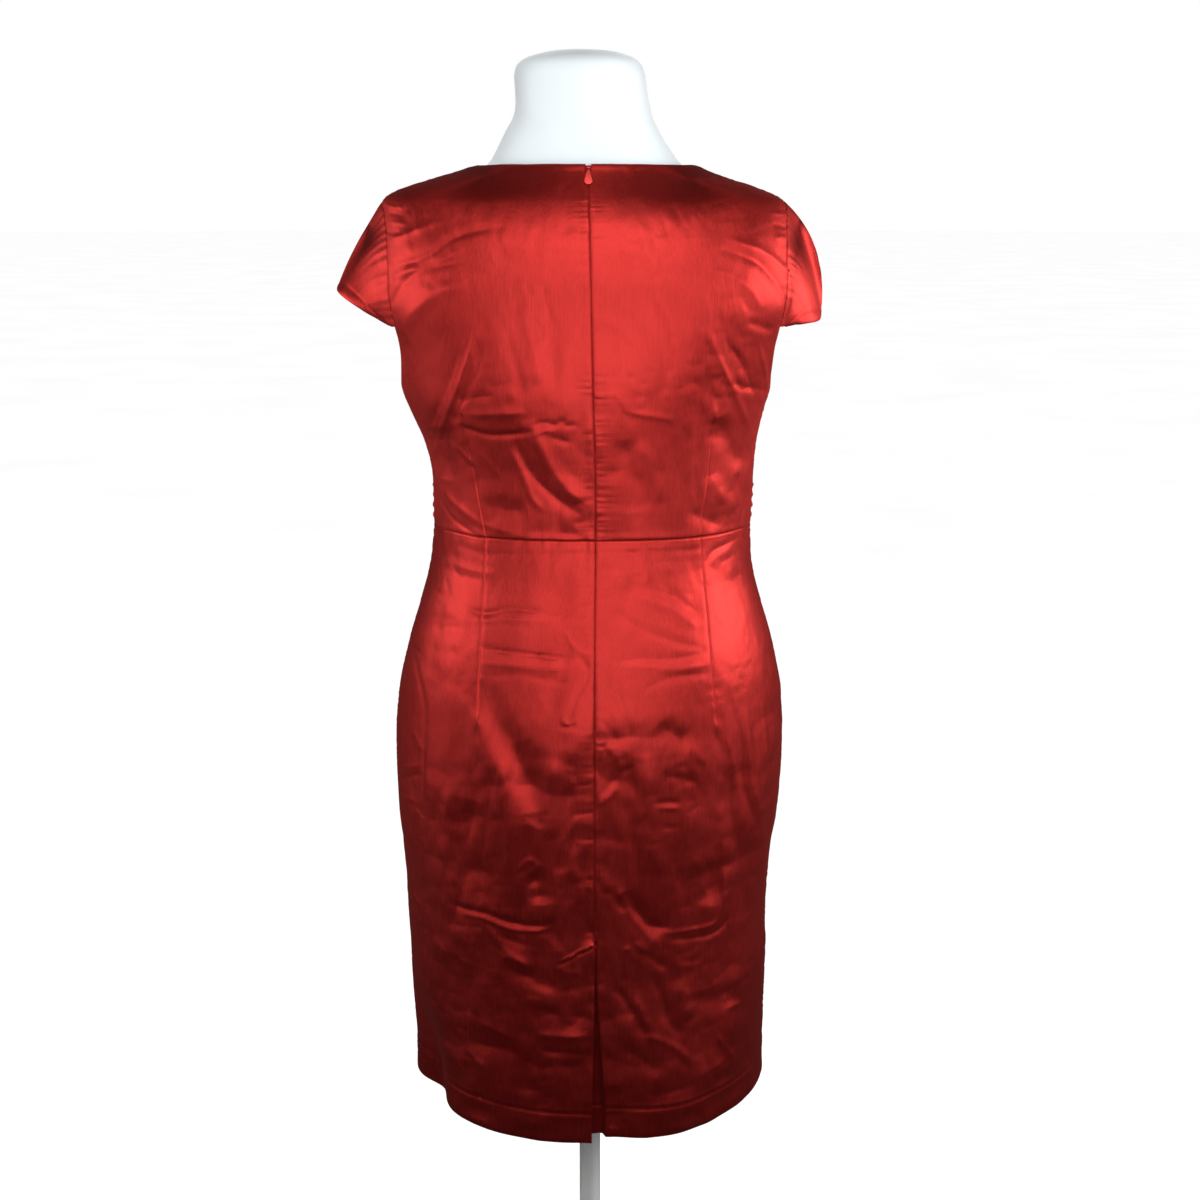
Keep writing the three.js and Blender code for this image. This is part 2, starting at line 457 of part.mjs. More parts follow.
// ------------------------------------------------------------- cap sleeves
// out and up: the middle of the sleeve's hem from the line joining its two ends.
// puff: how far the sleeve bows outward.
const SLEEVES = [
  { name: 'sleeve_left',  side: -1, out: 61, up: 33, puff: 12 },
  { name: 'sleeve_right', side: 1,  out: 43, up: 5,  puff: 4 },
];
const SLEEVE_ROWS = 6;
for (const sl of SLEEVES) {
  const used = armRows.filter((r) => r.deg >= SLEEVE_FROM - 0.01);
  const edge = [];
  for (const r of used) edge.push(surface('back', sl.side * edgeLength('back', r), r.z));
  for (const r of [...used].reverse().slice(1)) edge.push(surface('front', sl.side * edgeLength('front', r), r.z));
  const N = edge.length, tip = (N - 1) / 2;
  edge[tip].p.setY(0);
  edge[tip].n.setY(0).normalize();
  const out = edge.map((v, k) => {
    const t = edge[Math.min(k + 1, N - 1)].p.clone().sub(edge[Math.max(k - 1, 0)].p).normalize();
    const e = t.cross(v.n).normalize();
    return e.x * sl.side < 0 ? e.negate() : e;
  });
  const start = edge.map((v, k) => v.p.clone().addScaledVector(out[k], SEAM_GAP + 0.1));
  const point = (k, r) => {
    const q = 2 * k / (N - 1) - 1;
    const c = Math.pow(Math.cos(q * Math.PI / 2), 0.5);
    const hem = start[0].clone().lerp(start[N - 1], (q + 1) / 2);
    hem.x += sl.side * sl.out * c;
    hem.z += sl.up * c;
    hem.addScaledVector(out[k], 15 * (1 - c));
    const reach = hem.distanceTo(start[k]);
    const mid = start[k].clone().addScaledVector(out[k], reach * 0.5);
    mid.x += sl.side * sl.puff * c;
    return start[k].clone().multiplyScalar((1 - r) * (1 - r))
      .addScaledVector(mid, 2 * r * (1 - r)).addScaledVector(hem, r * r);
  };
  const grid = [];
  for (let i = 0; i <= SLEEVE_ROWS; i++) {
    const row = [];
    for (let k = 0; k < N; k++) {
      const r = i / SLEEVE_ROWS, e = 0.02;
      const p = point(k, r);
      const dr = point(k, Math.min(r + e, 1)).sub(point(k, Math.max(r - e, 0)));
      const dk = point(Math.min(k + 1, N - 1), r).sub(point(Math.max(k - 1, 0), r));
      const n = dr.cross(dk).normalize();
      if (n.dot(edge[k].n) < 0) n.negate();
      const mix = smooth(r / 0.35);
      row.push({ p, n: edge[k].n.clone().lerp(n, mix).normalize() });
    }
    grid.push(row);
  }
  add(sl.name, wall(grid, WALL), SATIN);
}

// -------------------------------------------------------------------- zip
{
  const heights = [...skirtRows.filter((z) => z >= ZIP_END_Z && z < WAIST_Z - 1).reverse(), WAIST_Z,
    ...lowerBack.slice(1).map((r) => r.z), ...armRows.map((r) => r.z), 1376, 1385];
  const under = WALL + 0.4;
  const grid = heights.map((z) => {
    const cb = centreBack(z);
    return [-1, 0, 1].map((k) => {
      const v = surface('back', cb + k * ZIP_CHAIN_W / 2, z);
      return { p: v.p.addScaledVector(v.n, -under), n: v.n };
    });
  });
  add('zip_chain', wall(grid, ZIP_CHAIN_T), ZIP_TAPE);
}
// The slider and its pull, in the plane of the cloth at the top of the zip.
const SLIDER_Z = 1393.5;
const SLIDER_W = 6, SLIDER_L = 9, SLIDER_T = 1.8, SLIDER_LIFT = 0.5;
const CHEEK_T = 1.0, BAR_R = 0.8, BAR_H = 3.0;      // BAR_H above the slider's face
const EYE_IN = 1.15, EYE_OUT = 2.05, EYE_W = 3.4;
const PULL_L = 17.5, PULL_W = 8, PULL_T = 1.2, PULL_LAY = 10;   // lay: degrees toward the cloth
{
  const seat = surface('back', centreBack(SLIDER_Z), SLIDER_Z);
  const n = seat.n.clone().setX(0).normalize();
  const group = new THREE.Group();                    // local: X across, Y down the cloth, Z out of it
  const down = new THREE.Vector3(1, 0, 0).cross(n).normalize();
  if (down.z > 0) down.negate();
  const across = down.clone().cross(n).normalize();
  group.matrixAutoUpdate = true;
  const basis = new THREE.Matrix4().makeBasis(across, down, n);
  group.quaternion.setFromRotationMatrix(basis);
  group.position.copy(seat.p);
  dress.add(group);

  const faceTop = SLIDER_LIFT + SLIDER_T, barZ = faceTop + BAR_H;
  const outline = new THREE.Shape();
  const w = SLIDER_W / 2, l = SLIDER_L / 2;
  outline.moveTo(-w + 1, -l); outline.lineTo(w - 1, -l); outline.lineTo(w, -l + 1.4);
  outline.lineTo(w - 0.7, l); outline.lineTo(-w + 0.7, l); outline.lineTo(-w, -l + 1.4);
  outline.closePath();
  const plate = new THREE.ExtrudeGeometry(outline, { depth: SLIDER_T, bevelEnabled: false });
  plate.translate(0, 0, SLIDER_LIFT);
  let slider = toManifold(plate);
  for (const s of [-1, 1]) {
    const cheek = new THREE.BoxGeometry(CHEEK_T, 3.6, BAR_H + 1.6);
    cheek.translate(s * (SLIDER_W / 2 - CHEEK_T / 2 - 0.02), 0, faceTop - 0.3 + (BAR_H + 1.6) / 2);
    slider = slider.add(toManifold(cheek));
  }
  const bar = new THREE.CylinderGeometry(BAR_R, BAR_R, SLIDER_W - CHEEK_T, 16);
  bar.rotateZ(Math.PI / 2);
  bar.translate(0, 0, barZ);
  slider = slider.add(toManifold(bar));
  add('zip_slider', fromManifold(slider), ZIP_PAINT, group);

  const hinge = new THREE.Group();                    // the pull's own frame on the bar
  hinge.position.set(0, 0, barZ);
  hinge.rotation.x = -PULL_LAY * Math.PI / 180;
  group.add(hinge);
  const eyeOuter = new THREE.CylinderGeometry(EYE_OUT, EYE_OUT, EYE_W, 24);
  eyeOuter.rotateZ(Math.PI / 2);
  const tab = new THREE.Shape();
  tab.moveTo(-1.5, 1.5); tab.lineTo(1.5, 1.5);
  tab.lineTo(2.2, 5); tab.lineTo(PULL_W / 2, PULL_L - 5.4);
  for (let i = 1; i < 12; i++) {
    const t = Math.PI * i / 12;
    tab.lineTo(PULL_W / 2 * Math.cos(t), PULL_L - 5.4 + 5.4 * Math.sin(t) * 0.75);
  }
  tab.lineTo(-PULL_W / 2, PULL_L - 5.4); tab.lineTo(-2.2, 5);
  tab.closePath();
  const leaf = new THREE.ExtrudeGeometry(tab, { depth: PULL_T, bevelEnabled: false });
  leaf.translate(0, 0, -PULL_T / 2);
  const eyeInner = new THREE.CylinderGeometry(EYE_IN, EYE_IN, EYE_W + 4, 24);
  eyeInner.rotateZ(Math.PI / 2);
  const pull = toManifold(eyeOuter).add(toManifold(leaf)).subtract(toManifold(eyeInner));
  add('zip_pull', fromManifold(pull), ZIP_PAINT, hinge);
}

// -------------------------------------------------------- form and its stand
{
  const heights = FORM_RINGS.map((r) => r.z);
  const rings = heights.map((z, i) => {
    const f = FORM_RINGS[i], ring = [];
    for (let j = 0; j < FORM_SEGMENTS; j++) {
      const t = 2 * Math.PI * j / FORM_SEGMENTS, s = Math.sin(t), c = Math.cos(t);
      const d = c > 0 ? f.b : f.f;
      ring.push(new THREE.Vector3(
        f.cx + f.a * Math.sign(s) * Math.pow(Math.abs(s), 2 / f.n),
        f.y0 - d * Math.sign(c) * Math.pow(Math.abs(c), 2 / f.n), z));
    }
    return ring;
  });
  const last = FORM_RINGS[FORM_RINGS.length - 1];
  add('form_body', stack(rings, new THREE.Vector3(0, 0, FORM_BOTTOM_Z), new THREE.Vector3(last.cx, last.y0, NECK_CAP_Z)), FORM_COVER);
}
{
  const foot = BASE_H + 0.3;
  const top = FORM_BOTTOM_Z - 0.3;
  const profile = [[0, foot], [COLLAR_R, foot], [COLLAR_R, foot + COLLAR_H - 3], [COLLAR_R - 3, foot + COLLAR_H],
    [POLE_R, foot + COLLAR_H], [POLE_R, top - 18], [POLE_R + 16, top - 10], [POLE_R + 16, top], [0, top]]
    .map(([x, y]) => new THREE.Vector2(x, y));
  const pole = new THREE.LatheGeometry(profile, 32);
  pole.rotateX(Math.PI / 2);
  add('stand_pole', fromManifold(toManifold(pole)), STAND_PAINT);

  const plate = new THREE.LatheGeometry([[0, 0], [BASE_R - 1, 0], [BASE_R, 1], [BASE_R, BASE_H - BASE_EDGE],
    [BASE_R - BASE_EDGE, BASE_H], [0, BASE_H]].map(([x, y]) => new THREE.Vector2(x, y)), 72);
  plate.rotateX(Math.PI / 2);
  add('stand_base', fromManifold(toManifold(plate)), STAND_PAINT);
}

export default dress;
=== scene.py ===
"""Looks for the cocktail dress on its dress form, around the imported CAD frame.

Millimetres inside the shape functions, metres on every Blender object.
The dress's back faces -Y (the camera's side), its front +Y, its right +X.
"""
import math

import bpy
import numpy as np
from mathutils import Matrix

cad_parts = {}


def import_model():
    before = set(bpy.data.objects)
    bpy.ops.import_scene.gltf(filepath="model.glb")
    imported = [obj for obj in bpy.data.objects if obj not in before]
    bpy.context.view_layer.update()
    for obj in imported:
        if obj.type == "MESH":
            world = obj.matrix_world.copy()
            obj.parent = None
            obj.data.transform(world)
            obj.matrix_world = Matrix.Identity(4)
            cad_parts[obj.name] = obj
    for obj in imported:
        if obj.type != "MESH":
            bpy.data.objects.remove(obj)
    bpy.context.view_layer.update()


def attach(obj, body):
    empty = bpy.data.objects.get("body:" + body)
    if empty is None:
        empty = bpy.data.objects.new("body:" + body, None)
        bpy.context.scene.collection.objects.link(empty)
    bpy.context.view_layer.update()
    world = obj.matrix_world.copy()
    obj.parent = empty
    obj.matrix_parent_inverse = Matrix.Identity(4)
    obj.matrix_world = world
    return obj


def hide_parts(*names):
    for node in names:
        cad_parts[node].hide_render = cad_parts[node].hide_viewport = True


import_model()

# ------------------------------------------------------------------ sizes, mm
CLOTH = 0.9                  # visible thickness of the satin and its lining
NECK_Z, FRONT_NECK_Z = 1400.0, 1316.0
ARM_Z, ARM_HALF_H, ARM_BACK, ARM_FRONT = 1276.0, 90.0, 52.0, 56.0
UNDERARM_Z = ARM_Z - ARM_HALF_H
WAIST_Z = 1051.0
HEM_SIDE_Z, HEM_BACK_Z, HEM_FRONT_Z = 469.0, 461.0, 466.0
VENT_TOP_Z, VENT_LAP = 664.0, 26.0
ZIP_END_Z = 940.0
SLEEVE_FROM = math.radians(72)
HEM_TURN = 30.0              # depth of the turned hem

# z, middle, half width, depth back and front, fullness of the back and front curves
SECTIONS = np.array([
    (440, 0.5, 182, 164, 124, 2.4, 1.75, 2.2, 1.9), (505, 0.0, 182.2, 160, 122, 2.4, 1.80, 2.2, 1.9),
    (573, -1.0, 185, 155, 120, 2.3, 1.85, 2.2, 1.9), (640, -2.4, 185.6, 151, 118, 2.2, 1.90, 2.2, 1.9),
    (706, -2.1, 188.8, 150, 118, 2.2, 1.90, 2.2, 1.9), (771, -1.0, 195.4, 150, 119, 2.2, 1.90, 2.2, 1.9),
    (835, 0.0, 197.5, 149, 120, 2.2, 1.90, 2.2, 1.9), (888, 0.5, 192.8, 145, 119, 2.3, 1.85, 2.2, 1.9),
    (930, 1.5, 183.9, 136, 116, 2.4, 1.80, 2.2, 1.9), (971, 1.5, 172, 124, 110, 2.5, 1.75, 2.2, 1.9),
    (1012, 2.0, 160.9, 112, 103, 2.6, 1.65, 2.2, 1.9), (1051, 3.0, 158, 106, 99, 2.7, 1.60, 2.2, 1.9),
    (1094, 4.2, 158.7, 108, 106, 2.6, 1.65, 2.2, 1.9), (1134, 1.5, 164, 112, 122, 2.5, 1.75, 2.3, 1.9),
    (1183, -3.0, 181, 117, 136, 2.4, 1.85, 2.3, 1.9), (1226, -1.0, 190, 119, 134, 2.4, 2.00, 2.4, 2.0),
    (1276, -0.5, 206, 119, 122, 2.4, 2.10, 2.4, 2.1), (1320, -1.0, 203, 113, 108, 2.4, 2.10, 2.4, 2.1),
    (1345, -2.0, 199, 106, 98, 2.3, 2.10, 2.3, 2.1), (1366, -5.0, 194, 97, 89, 2.2, 2.05, 2.2, 2.0),
    (1376, -8.0, 177, 91, 84, 2.1, 2.00, 2.1, 2.0), (1385, -8.0, 149, 85, 79, 2.0, 2.00, 2.0, 2.0),
    (1394, -5.0, 120, 79, 75, 2.0, 2.00, 2.0, 2.0), (1402, -1.0, 98, 75, 72, 2.0, 2.00, 2.0, 2.0),
], float)
CENTRE_BACK = np.array([(440, 1.0), (553, 2.9), (663, 4.8), (760, 5.7), (952, 5.7), (1051, 6.6),
                        (1090, 6.6), (1186, 4.6), (1278, 2.7), (1402, 0.0)], float)
# z, middle x, middle y, half width, depth back and front, fullness
FORM_RINGS = np.array([
    (800, 0, 0, 166, 118, 98, 2.3), (806, 0, 0, 176, 128, 106, 2.3), (820, 0, 0, 183, 135, 109, 2.2),
    (850, 0, 0, 187, 138, 111, 2.1), (888, 0.5, 0, 184, 135, 110, 2.1), (930, 1.5, 0, 175, 126, 107, 2.1),
    (971, 1.5, 0, 163, 114, 101, 2.0), (1012, 2.0, 0, 150, 99, 93, 2.0), (1051, 3.0, 0, 145, 92, 88, 2.0),
    (1094, 4.0, 0, 147, 95, 95, 2.0), (1134, 1.5, 0, 153, 100, 110, 2.0), (1183, -2.0, 0, 166, 107, 125, 2.1),
    (1226, -1.0, 0, 174, 110, 123, 2.1), (1276, -0.5, 0, 182, 110, 111, 2.1), (1320, -1.0, 0, 186, 104, 98, 2.1),
    (1345, -2.0, 0, 184, 96, 88, 2.1), (1361, -4.0, 0, 173, 88, 81, 2.0), (1371, -7.0, 0, 158, 82, 76, 2.0),
    (1381, -7.0, 0, 132, 76, 71, 2.0), (1391, -5.0, 0, 107, 70, 67, 2.0), (1402, -4.0, 1, 92, 65, 64, 2.0),
    (1414, -5.0, 3, 84, 62, 62, 2.0), (1430, -6.0, 5, 75, 60, 61, 2.0), (1448, -5.5, 7, 66.5, 59, 60, 2.0),
    (1466, -7.0, 8, 64, 59, 59, 2.0), (1482, -8.5, 9, 63.5, 59, 59, 2.0), (1492, -9.0, 9, 60.5, 56, 56, 2.0),
    (1499, -8.5, 9, 53, 49, 49, 2.0), (1504, -7.0, 9, 38, 36, 36, 2.0),
], float)

# Creases: height (minus is a trough), half width, points (x, z).
CREASES_BACK = [
    (-1.01, 2.9, [(-193, 1300), (-178, 1307), (-150, 1316), (-124, 1333), (-100, 1340), (-80, 1343)]),
    (0.67, 2.9, [(-193, 1327), (-178, 1333), (-145, 1345), (-121, 1354)]),
    (0.67, 2.3, [(-185, 1294), (-167, 1302), (-148, 1306), (-124, 1318), (-108, 1326)]),
    (-1.18, 3.5, [(-192, 1264), (-185, 1274), (-173, 1291), (-155, 1304), (-128, 1310), (-104, 1314)]),
    (1.6, 6.9, [(-183, 1238), (-160, 1268), (-133, 1286), (-98, 1292)]),
    (0.92, 2.3, [(-101, 1257), (-105, 1245), (-120, 1202), (-134, 1170), (-149, 1131), (-154, 1114)]),
    (-0.92, 2.9, [(-93, 1239), (-96, 1233), (-105, 1209), (-117, 1184), (-127, 1159)]),
    (-0.67, 2.9, [(-118, 1238), (-130, 1202), (-145, 1168), (-158, 1140)]),
    (-0.46, 3.5, [(-76, 1259), (-75, 1249), (-67, 1217), (-59, 1184)]),
    (0.42, 3.5, [(-63, 1278), (-54, 1241), (-45, 1200)]),
    (-0.72, 6.1, [(-40, 1278), (-34, 1237), (-31, 1195)]),
    (0.42, 1.7, [(-203, 1366), (-186, 1361), (-173, 1360)]),
    (0.42, 1.7, [(-202, 1349), (-183, 1346), (-168, 1345)]),
    (-0.42, 1.7, [(-203, 1357), (-184, 1354), (-171, 1352)]),
    (-0.42, 1.7, [(-204, 1340), (-186, 1337), (-172, 1336)]),
    (1.09, 3.5, [(123, 1333), (140, 1328), (164, 1319), (185, 1304), (199, 1287)]),
    (-1.43, 3.5, [(117, 1322), (135, 1320), (160, 1309), (178, 1290), (188, 1269), (184, 1253), (174, 1240)]),
    (0.76, 3.5, [(102, 1306), (130, 1299), (152, 1285), (164, 1264)]),
    (0.92, 2.9, [(106, 1253), (116, 1235), (125, 1216), (138, 1190), (153, 1158), (158, 1142)]),
    (-0.92, 3.5, [(127, 1241), (142, 1220), (153, 1200), (161, 1177)]),
    (0.63, 1.7, [(163, 1235), (165, 1221), (170, 1205), (176, 1181)]),
    (-0.84, 3.5, [(147, 1257), (161, 1251), (177, 1245)]),
    (-0.34, 2.9, [(1, 1268), (16, 1259), (31, 1250), (49, 1232)]),
    (-0.42, 3.5, [(56, 1290), (73, 1259), (80, 1222)]),
    (0.38, 2.3, [(22, 1197), (32, 1183), (39, 1174), (57, 1171), (85, 1165)]),
    (0.42, 1.7, [(171, 1356), (188, 1353), (203, 1351)]),
    (-0.42, 1.7, [(173, 1345), (188, 1342), (204, 1339)]),
    (0.42, 1.7, [(174, 1334), (190, 1330), (205, 1326)]),
    (-0.67, 3.5, [(-125, 1182), (-107, 1186), (-87, 1189)]),
    (0.76, 3.5, [(-118, 1170), (-93, 1171), (-58, 1174)]),
    (-1.18, 2.3, [(-124, 1159), (-114, 1156), (-92, 1151), (-62, 1154), (-51, 1157)]),
    (1.6, 6.1, [(-57, 1167), (-45, 1142), (-36, 1123), (-22, 1104), (3, 1083)]),
    (-1.01, 3.5, [(-72, 1155), (-61, 1128), (-47, 1108), (-29, 1091), (-4, 1075)]),
    (0.63, 2.0, [(-74, 1140), (-66, 1124), (-59, 1106), (-51, 1089), (-40, 1078)]),
    (0.46, 1.7, [(-128, 1139), (-117, 1129), (-106, 1118)]),
    (0.46, 1.7, [(-102, 1134), (-91, 1120), (-82, 1107)]),
    (-2.24, 7.8, [(-147, 1153), (-141, 1129), (-138, 1101)]),
    (0.8, 3.5, [(-149, 1100), (-133, 1082), (-112, 1069), (-95, 1062), (-61, 1056)]),
    (-0.63, 1.7, [(-152, 1091), (-143, 1076), (-133, 1065), (-119, 1057), (-99, 1049)]),
    (-1.28, 6.9, [(-100, 1083), (-80, 1079), (-58, 1078)]),
    (-0.42, 1.7, [(-53, 1159), (-42, 1165), (-30, 1162), (-25, 1167), (-20, 1161), (-13, 1163), (-6, 1158)]),
    (0.42, 1.7, [(-51, 1152), (-40, 1157), (-31, 1155)]),
    (-0.5, 2.9, [(-35, 1151), (-25, 1148), (-16, 1145)]),
    (-0.8, 2.9, [(105, 1176), (104, 1165), (103, 1137), (101, 1104), (106, 1080)]),
    (-2.0, 7.8, [(122, 1166), (132, 1143), (144, 1125), (160, 1115)]),
    (-0.71, 3.5, [(134, 1198), (153, 1192), (177, 1184)]),
    (0.55, 2.3, [(158, 1136), (163, 1145), (170, 1164)]),
    (1.6, 6.9, [(115, 1110), (126, 1090), (141, 1070)]),
    (-1.44, 6.1, [(94, 1078), (110, 1069), (130, 1059)]),
    (-0.76, 3.5, [(143, 1108), (150, 1088), (158, 1067)]),
    (0.5, 3.5, [(48, 1148), (62, 1119), (69, 1085)]),
    (-0.96, 6.1, [(31, 1148), (40, 1115), (44, 1079)]),
    (-0.38, 2.9, [(-151, 1039), (-133, 1040), (-119, 1038), (-97, 1036), (-63, 1037), (-37, 1038), (-5, 1039), (33, 1039), (55, 1039), (84, 1040), (111, 1039), (129, 1040), (151, 1045)]),
    (-0.67, 2.3, [(112, 1031), (120, 1036), (137, 1041), (154, 1046)]),
    (0.46, 3.5, [(-141, 1022), (-115, 1018), (-85, 1018)]),
    (0.88, 6.1, [(20, 1017), (48, 1022), (87, 1022)]),
    (-0.92, 2.0, [(-120, 984), (-104, 980), (-90, 982), (-79, 986), (-56, 986), (-39, 984)]),
    (0.59, 2.3, [(-116, 971), (-95, 974), (-70, 977), (-40, 976)]),
    (-0.55, 1.7, [(-40, 982), (-29, 981), (-12, 987), (5, 995)]),
    (-1.34, 2.6, [(-108, 951), (-97, 948), (-76, 947), (-56, 946), (-29, 944), (-6, 943)]),
    (0.92, 2.9, [(-104, 934), (-76, 935), (-46, 934), (-13, 933)]),
    (-0.67, 2.9, [(-102, 923), (-69, 926), (-43, 924), (-13, 920)]),
    (-2.72, 8.6, [(-104, 919), (-96, 905), (-83, 875), (-69, 849), (-58, 822), (-52, 796)]),
    (2.4, 7.8, [(-116, 904), (-107, 879), (-102, 862), (-88, 837), (-80, 799), (-76, 759), (-71, 716), (-65, 698)]),
    (0.63, 1.7, [(-25, 970), (-21, 965), (-12, 952), (4, 945)]),
    (-0.55, 1.7, [(-10, 951), (-3, 937), (5, 932)]),
    (-0.76, 2.6, [(4, 933), (-9, 914), (-17, 891), (-21, 880)]),
    (0.63, 1.7, [(-26, 889), (-18, 880)]),
    (-0.67, 2.3, [(-27, 879), (-10, 881)]),
    (-0.63, 2.3, [(-189, 926), (-176, 931), (-164, 929)]),
    (-0.76, 1.5, [(-178, 935), (-172, 922), (-161, 881), (-162, 840), (-163, 788), (-162, 735)]),
    (0.59, 1.4, [(-175, 855), (-169, 846), (-164, 836)]),
    (0.59, 1.5, [(-188, 810), (-175, 818), (-164, 826)]),
    (-0.8, 2.3, [(-191, 794), (-178, 806), (-164, 815)]),
    (0.5, 2.3, [(-189, 777), (-179, 782), (-169, 783)]),
    (0.5, 1.4, [(-172, 775), (-165, 765)]),
    (0.5, 1.4, [(-167, 748), (-162, 732)]),
    (0.67, 1.5, [(-185, 680), (-177, 676), (-170, 670)]),
    (-0.5, 1.5, [(-192, 661), (-182, 665), (-172, 660)]),
    (0.67, 1.6, [(-187, 654), (-177, 655), (-168, 653)]),
    (-1.01, 2.9, [(46, 1012), (67, 1004), (81, 999), (95, 988), (110, 975)]),
    (0.76, 2.9, [(41, 1000), (63, 993), (83, 983), (106, 966)]),
    (-1.01, 2.9, [(24, 990), (41, 975), (61, 965), (81, 957), (115, 945)]),
    (-1.28, 6.9, [(14, 1031), (33, 1022), (54, 1012)]),
    (-0.76, 2.3, [(21, 939), (47, 943), (81, 941), (118, 944)]),
    (0.92, 3.5, [(20, 930), (48, 934), (79, 931), (118, 932)]),
    (-0.59, 2.9, [(46, 910), (75, 923), (118, 924)]),
    (-0.76, 3.5, [(19, 935), (27, 913), (33, 891), (41, 867)]),
    (-0.5, 1.7, [(12, 887), (21, 874), (29, 862)]),
    (-0.5, 1.7, [(12, 864), (22, 847)]),
    (-1.52, 6.9, [(67, 881), (83, 868), (98, 855)]),
    (0.71, 3.5, [(92, 867), (101, 852), (110, 837)]),
    (-0.63, 2.3, [(111, 1023), (122, 1035), (139, 1041)]),
    (-1.18, 3.5, [(134, 905), (140, 884), (147, 854), (150, 818), (157, 787), (167, 758)]),
    (1.01, 3.5, [(150, 886), (155, 861), (159, 825), (165, 792), (174, 759)]),
    (-0.76, 2.3, [(160, 868), (164, 844), (166, 823)]),
    (0.67, 1.4, [(169, 899), (172, 870), (174, 840), (174, 782), (174, 745), (182, 698)]),
    (-0.59, 1.7, [(177, 893), (179, 852), (181, 800), (182, 744)]),
    (0.67, 2.3, [(177, 926), (183, 902), (191, 874)]),
    (0.76, 2.3, [(132, 861), (141, 834), (145, 804)]),
    (-1.76, 6.9, [(140, 832), (138, 795), (146, 751), (152, 706), (155, 661)]),
    (-1.28, 7.8, [(160, 746), (167, 698), (169, 646)]),
    (-1.76, 10.4, [(-66, 864), (-54, 839), (-50, 808), (-56, 782)]),
    (-2.0, 12.4, [(-115, 801), (-119, 759), (-112, 717), (-98, 702)]),
    (1.12, 6.1, [(-136, 821), (-139, 789), (-143, 755), (-141, 722)]),
    (1.2, 6.1, [(-35, 848), (-39, 808), (-35, 769)]),
    (-0.23, 1.7, [(-20, 846), (-14, 840)]),
    (0.37, 2.0, [(-16, 833), (-13, 819), (-7, 797)]),
    (-0.37, 2.0, [(-17, 827), (-20, 803), (-24, 775)]),
    (0.46, 2.9, [(-10, 794), (-17, 779), (-26, 763)]),
    (-0.3, 1.7, [(-14, 822), (5, 824)]),
    (-0.3, 1.7, [(-14, 794), (5, 796)]),
    (-0.46, 3.5, [(-13, 767), (-21, 753), (-27, 735)]),
    (0.32, 3.5, [(-3, 771), (-9, 749), (-11, 719)]),
    (0.67, 2.0, [(-70, 733), (-62, 743), (-55, 747), (-44, 739)]),
    (-2.24, 6.9, [(-57, 733), (-49, 724), (-45, 703)]),
    (-1.26, 2.6, [(-140, 690), (-121, 687), (-102, 687), (-77, 682), (-57, 680), (-35, 684)]),
    (0.84, 1.8, [(-125, 682), (-102, 682), (-77, 675), (-50, 676), (-36, 679)]),
    (-0.92, 3.5, [(-36, 692), (-34, 676), (-31, 657)]),
    (0.76, 2.6, [(-102, 679), (-93, 667), (-82, 653), (-71, 646), (-54, 637)]),
    (1.76, 6.1, [(-87, 647), (-72, 644), (-55, 637)]),
    (-0.76, 3.5, [(-87, 668), (-75, 663), (-59, 660)]),
    (-0.59, 2.3, [(-79, 635), (-67, 630), (-51, 626)]),
    (0.76, 3.5, [(-35, 639), (-22, 636), (-7, 633)]),
    (1.01, 3.5, [(-52, 571), (-28, 570), (3, 570)]),
    (-0.92, 3.5, [(-50, 555), (-26, 553), (3, 552)]),
    (0.67, 3.5, [(-110, 574), (-91, 569), (-72, 562)]),
    (-1.28, 6.1, [(-122, 550), (-98, 550), (-70, 553)]),
    (0.55, 2.9, [(-126, 542), (-114, 534), (-101, 524)]),
    (0.76, 2.9, [(-179, 587), (-169, 587), (-160, 586)]),
    (-0.76, 2.9, [(-181, 565), (-168, 571), (-152, 578)]),
    (0.59, 1.7, [(-180, 513), (-170, 521), (-160, 521)]),
    (0.42, 1.5, [(-167, 648), (-164, 638), (-160, 628)]),
    (-2.0, 19.4, [(-125, 633), (-132, 578), (-125, 528)]),
    (1.4, 12.4, [(-43, 621), (-48, 595)]),
    (1.44, 6.1, [(22, 865), (29, 852), (35, 838)]),
    (-1.18, 3.5, [(16, 869), (33, 848), (42, 821), (41, 788), (45, 748), (49, 711)]),
    (1.76, 6.1, [(56, 855), (58, 817), (58, 777), (64, 734)]),
    (-0.44, 2.6, [(29, 833), (20, 824), (10, 811)]),
    (0.44, 2.6, [(29, 822), (21, 813), (11, 803)]),
    (-0.67, 3.5, [(71, 830), (87, 827), (105, 819)]),
    (-0.55, 2.3, [(60, 804), (74, 804), (87, 802)]),
    (0.5, 1.7, [(64, 799), (76, 798), (87, 796)]),
    (-0.5, 2.3, [(94, 789), (108, 799)]),
    (-0.42, 2.0, [(71, 779), (85, 778)]),
    (-0.42, 2.0, [(56, 761), (67, 766)]),
    (1.44, 10.4, [(97, 803), (101, 762), (98, 722)]),
    (-1.44, 7.8, [(120, 736), (122, 712), (114, 692)]),
    (-0.6, 2.9, [(20, 719), (27, 706), (36, 695)]),
    (0.92, 2.3, [(26, 721), (34, 708), (41, 693), (55, 674), (64, 659)]),
    (-2.72, 6.1, [(37, 717), (44, 698), (57, 681), (77, 675)]),
    (0.8, 1.7, [(69, 672), (84, 670), (99, 670), (117, 669), (128, 676), (133, 707), (130, 737)]),
    (-0.76, 2.3, [(73, 664), (99, 661), (121, 660), (137, 670), (141, 702)]),
    (0.67, 2.0, [(31, 655), (38, 658), (43, 649), (46, 642)]),
    (0.63, 2.0, [(43, 664), (49, 660), (55, 652)]),
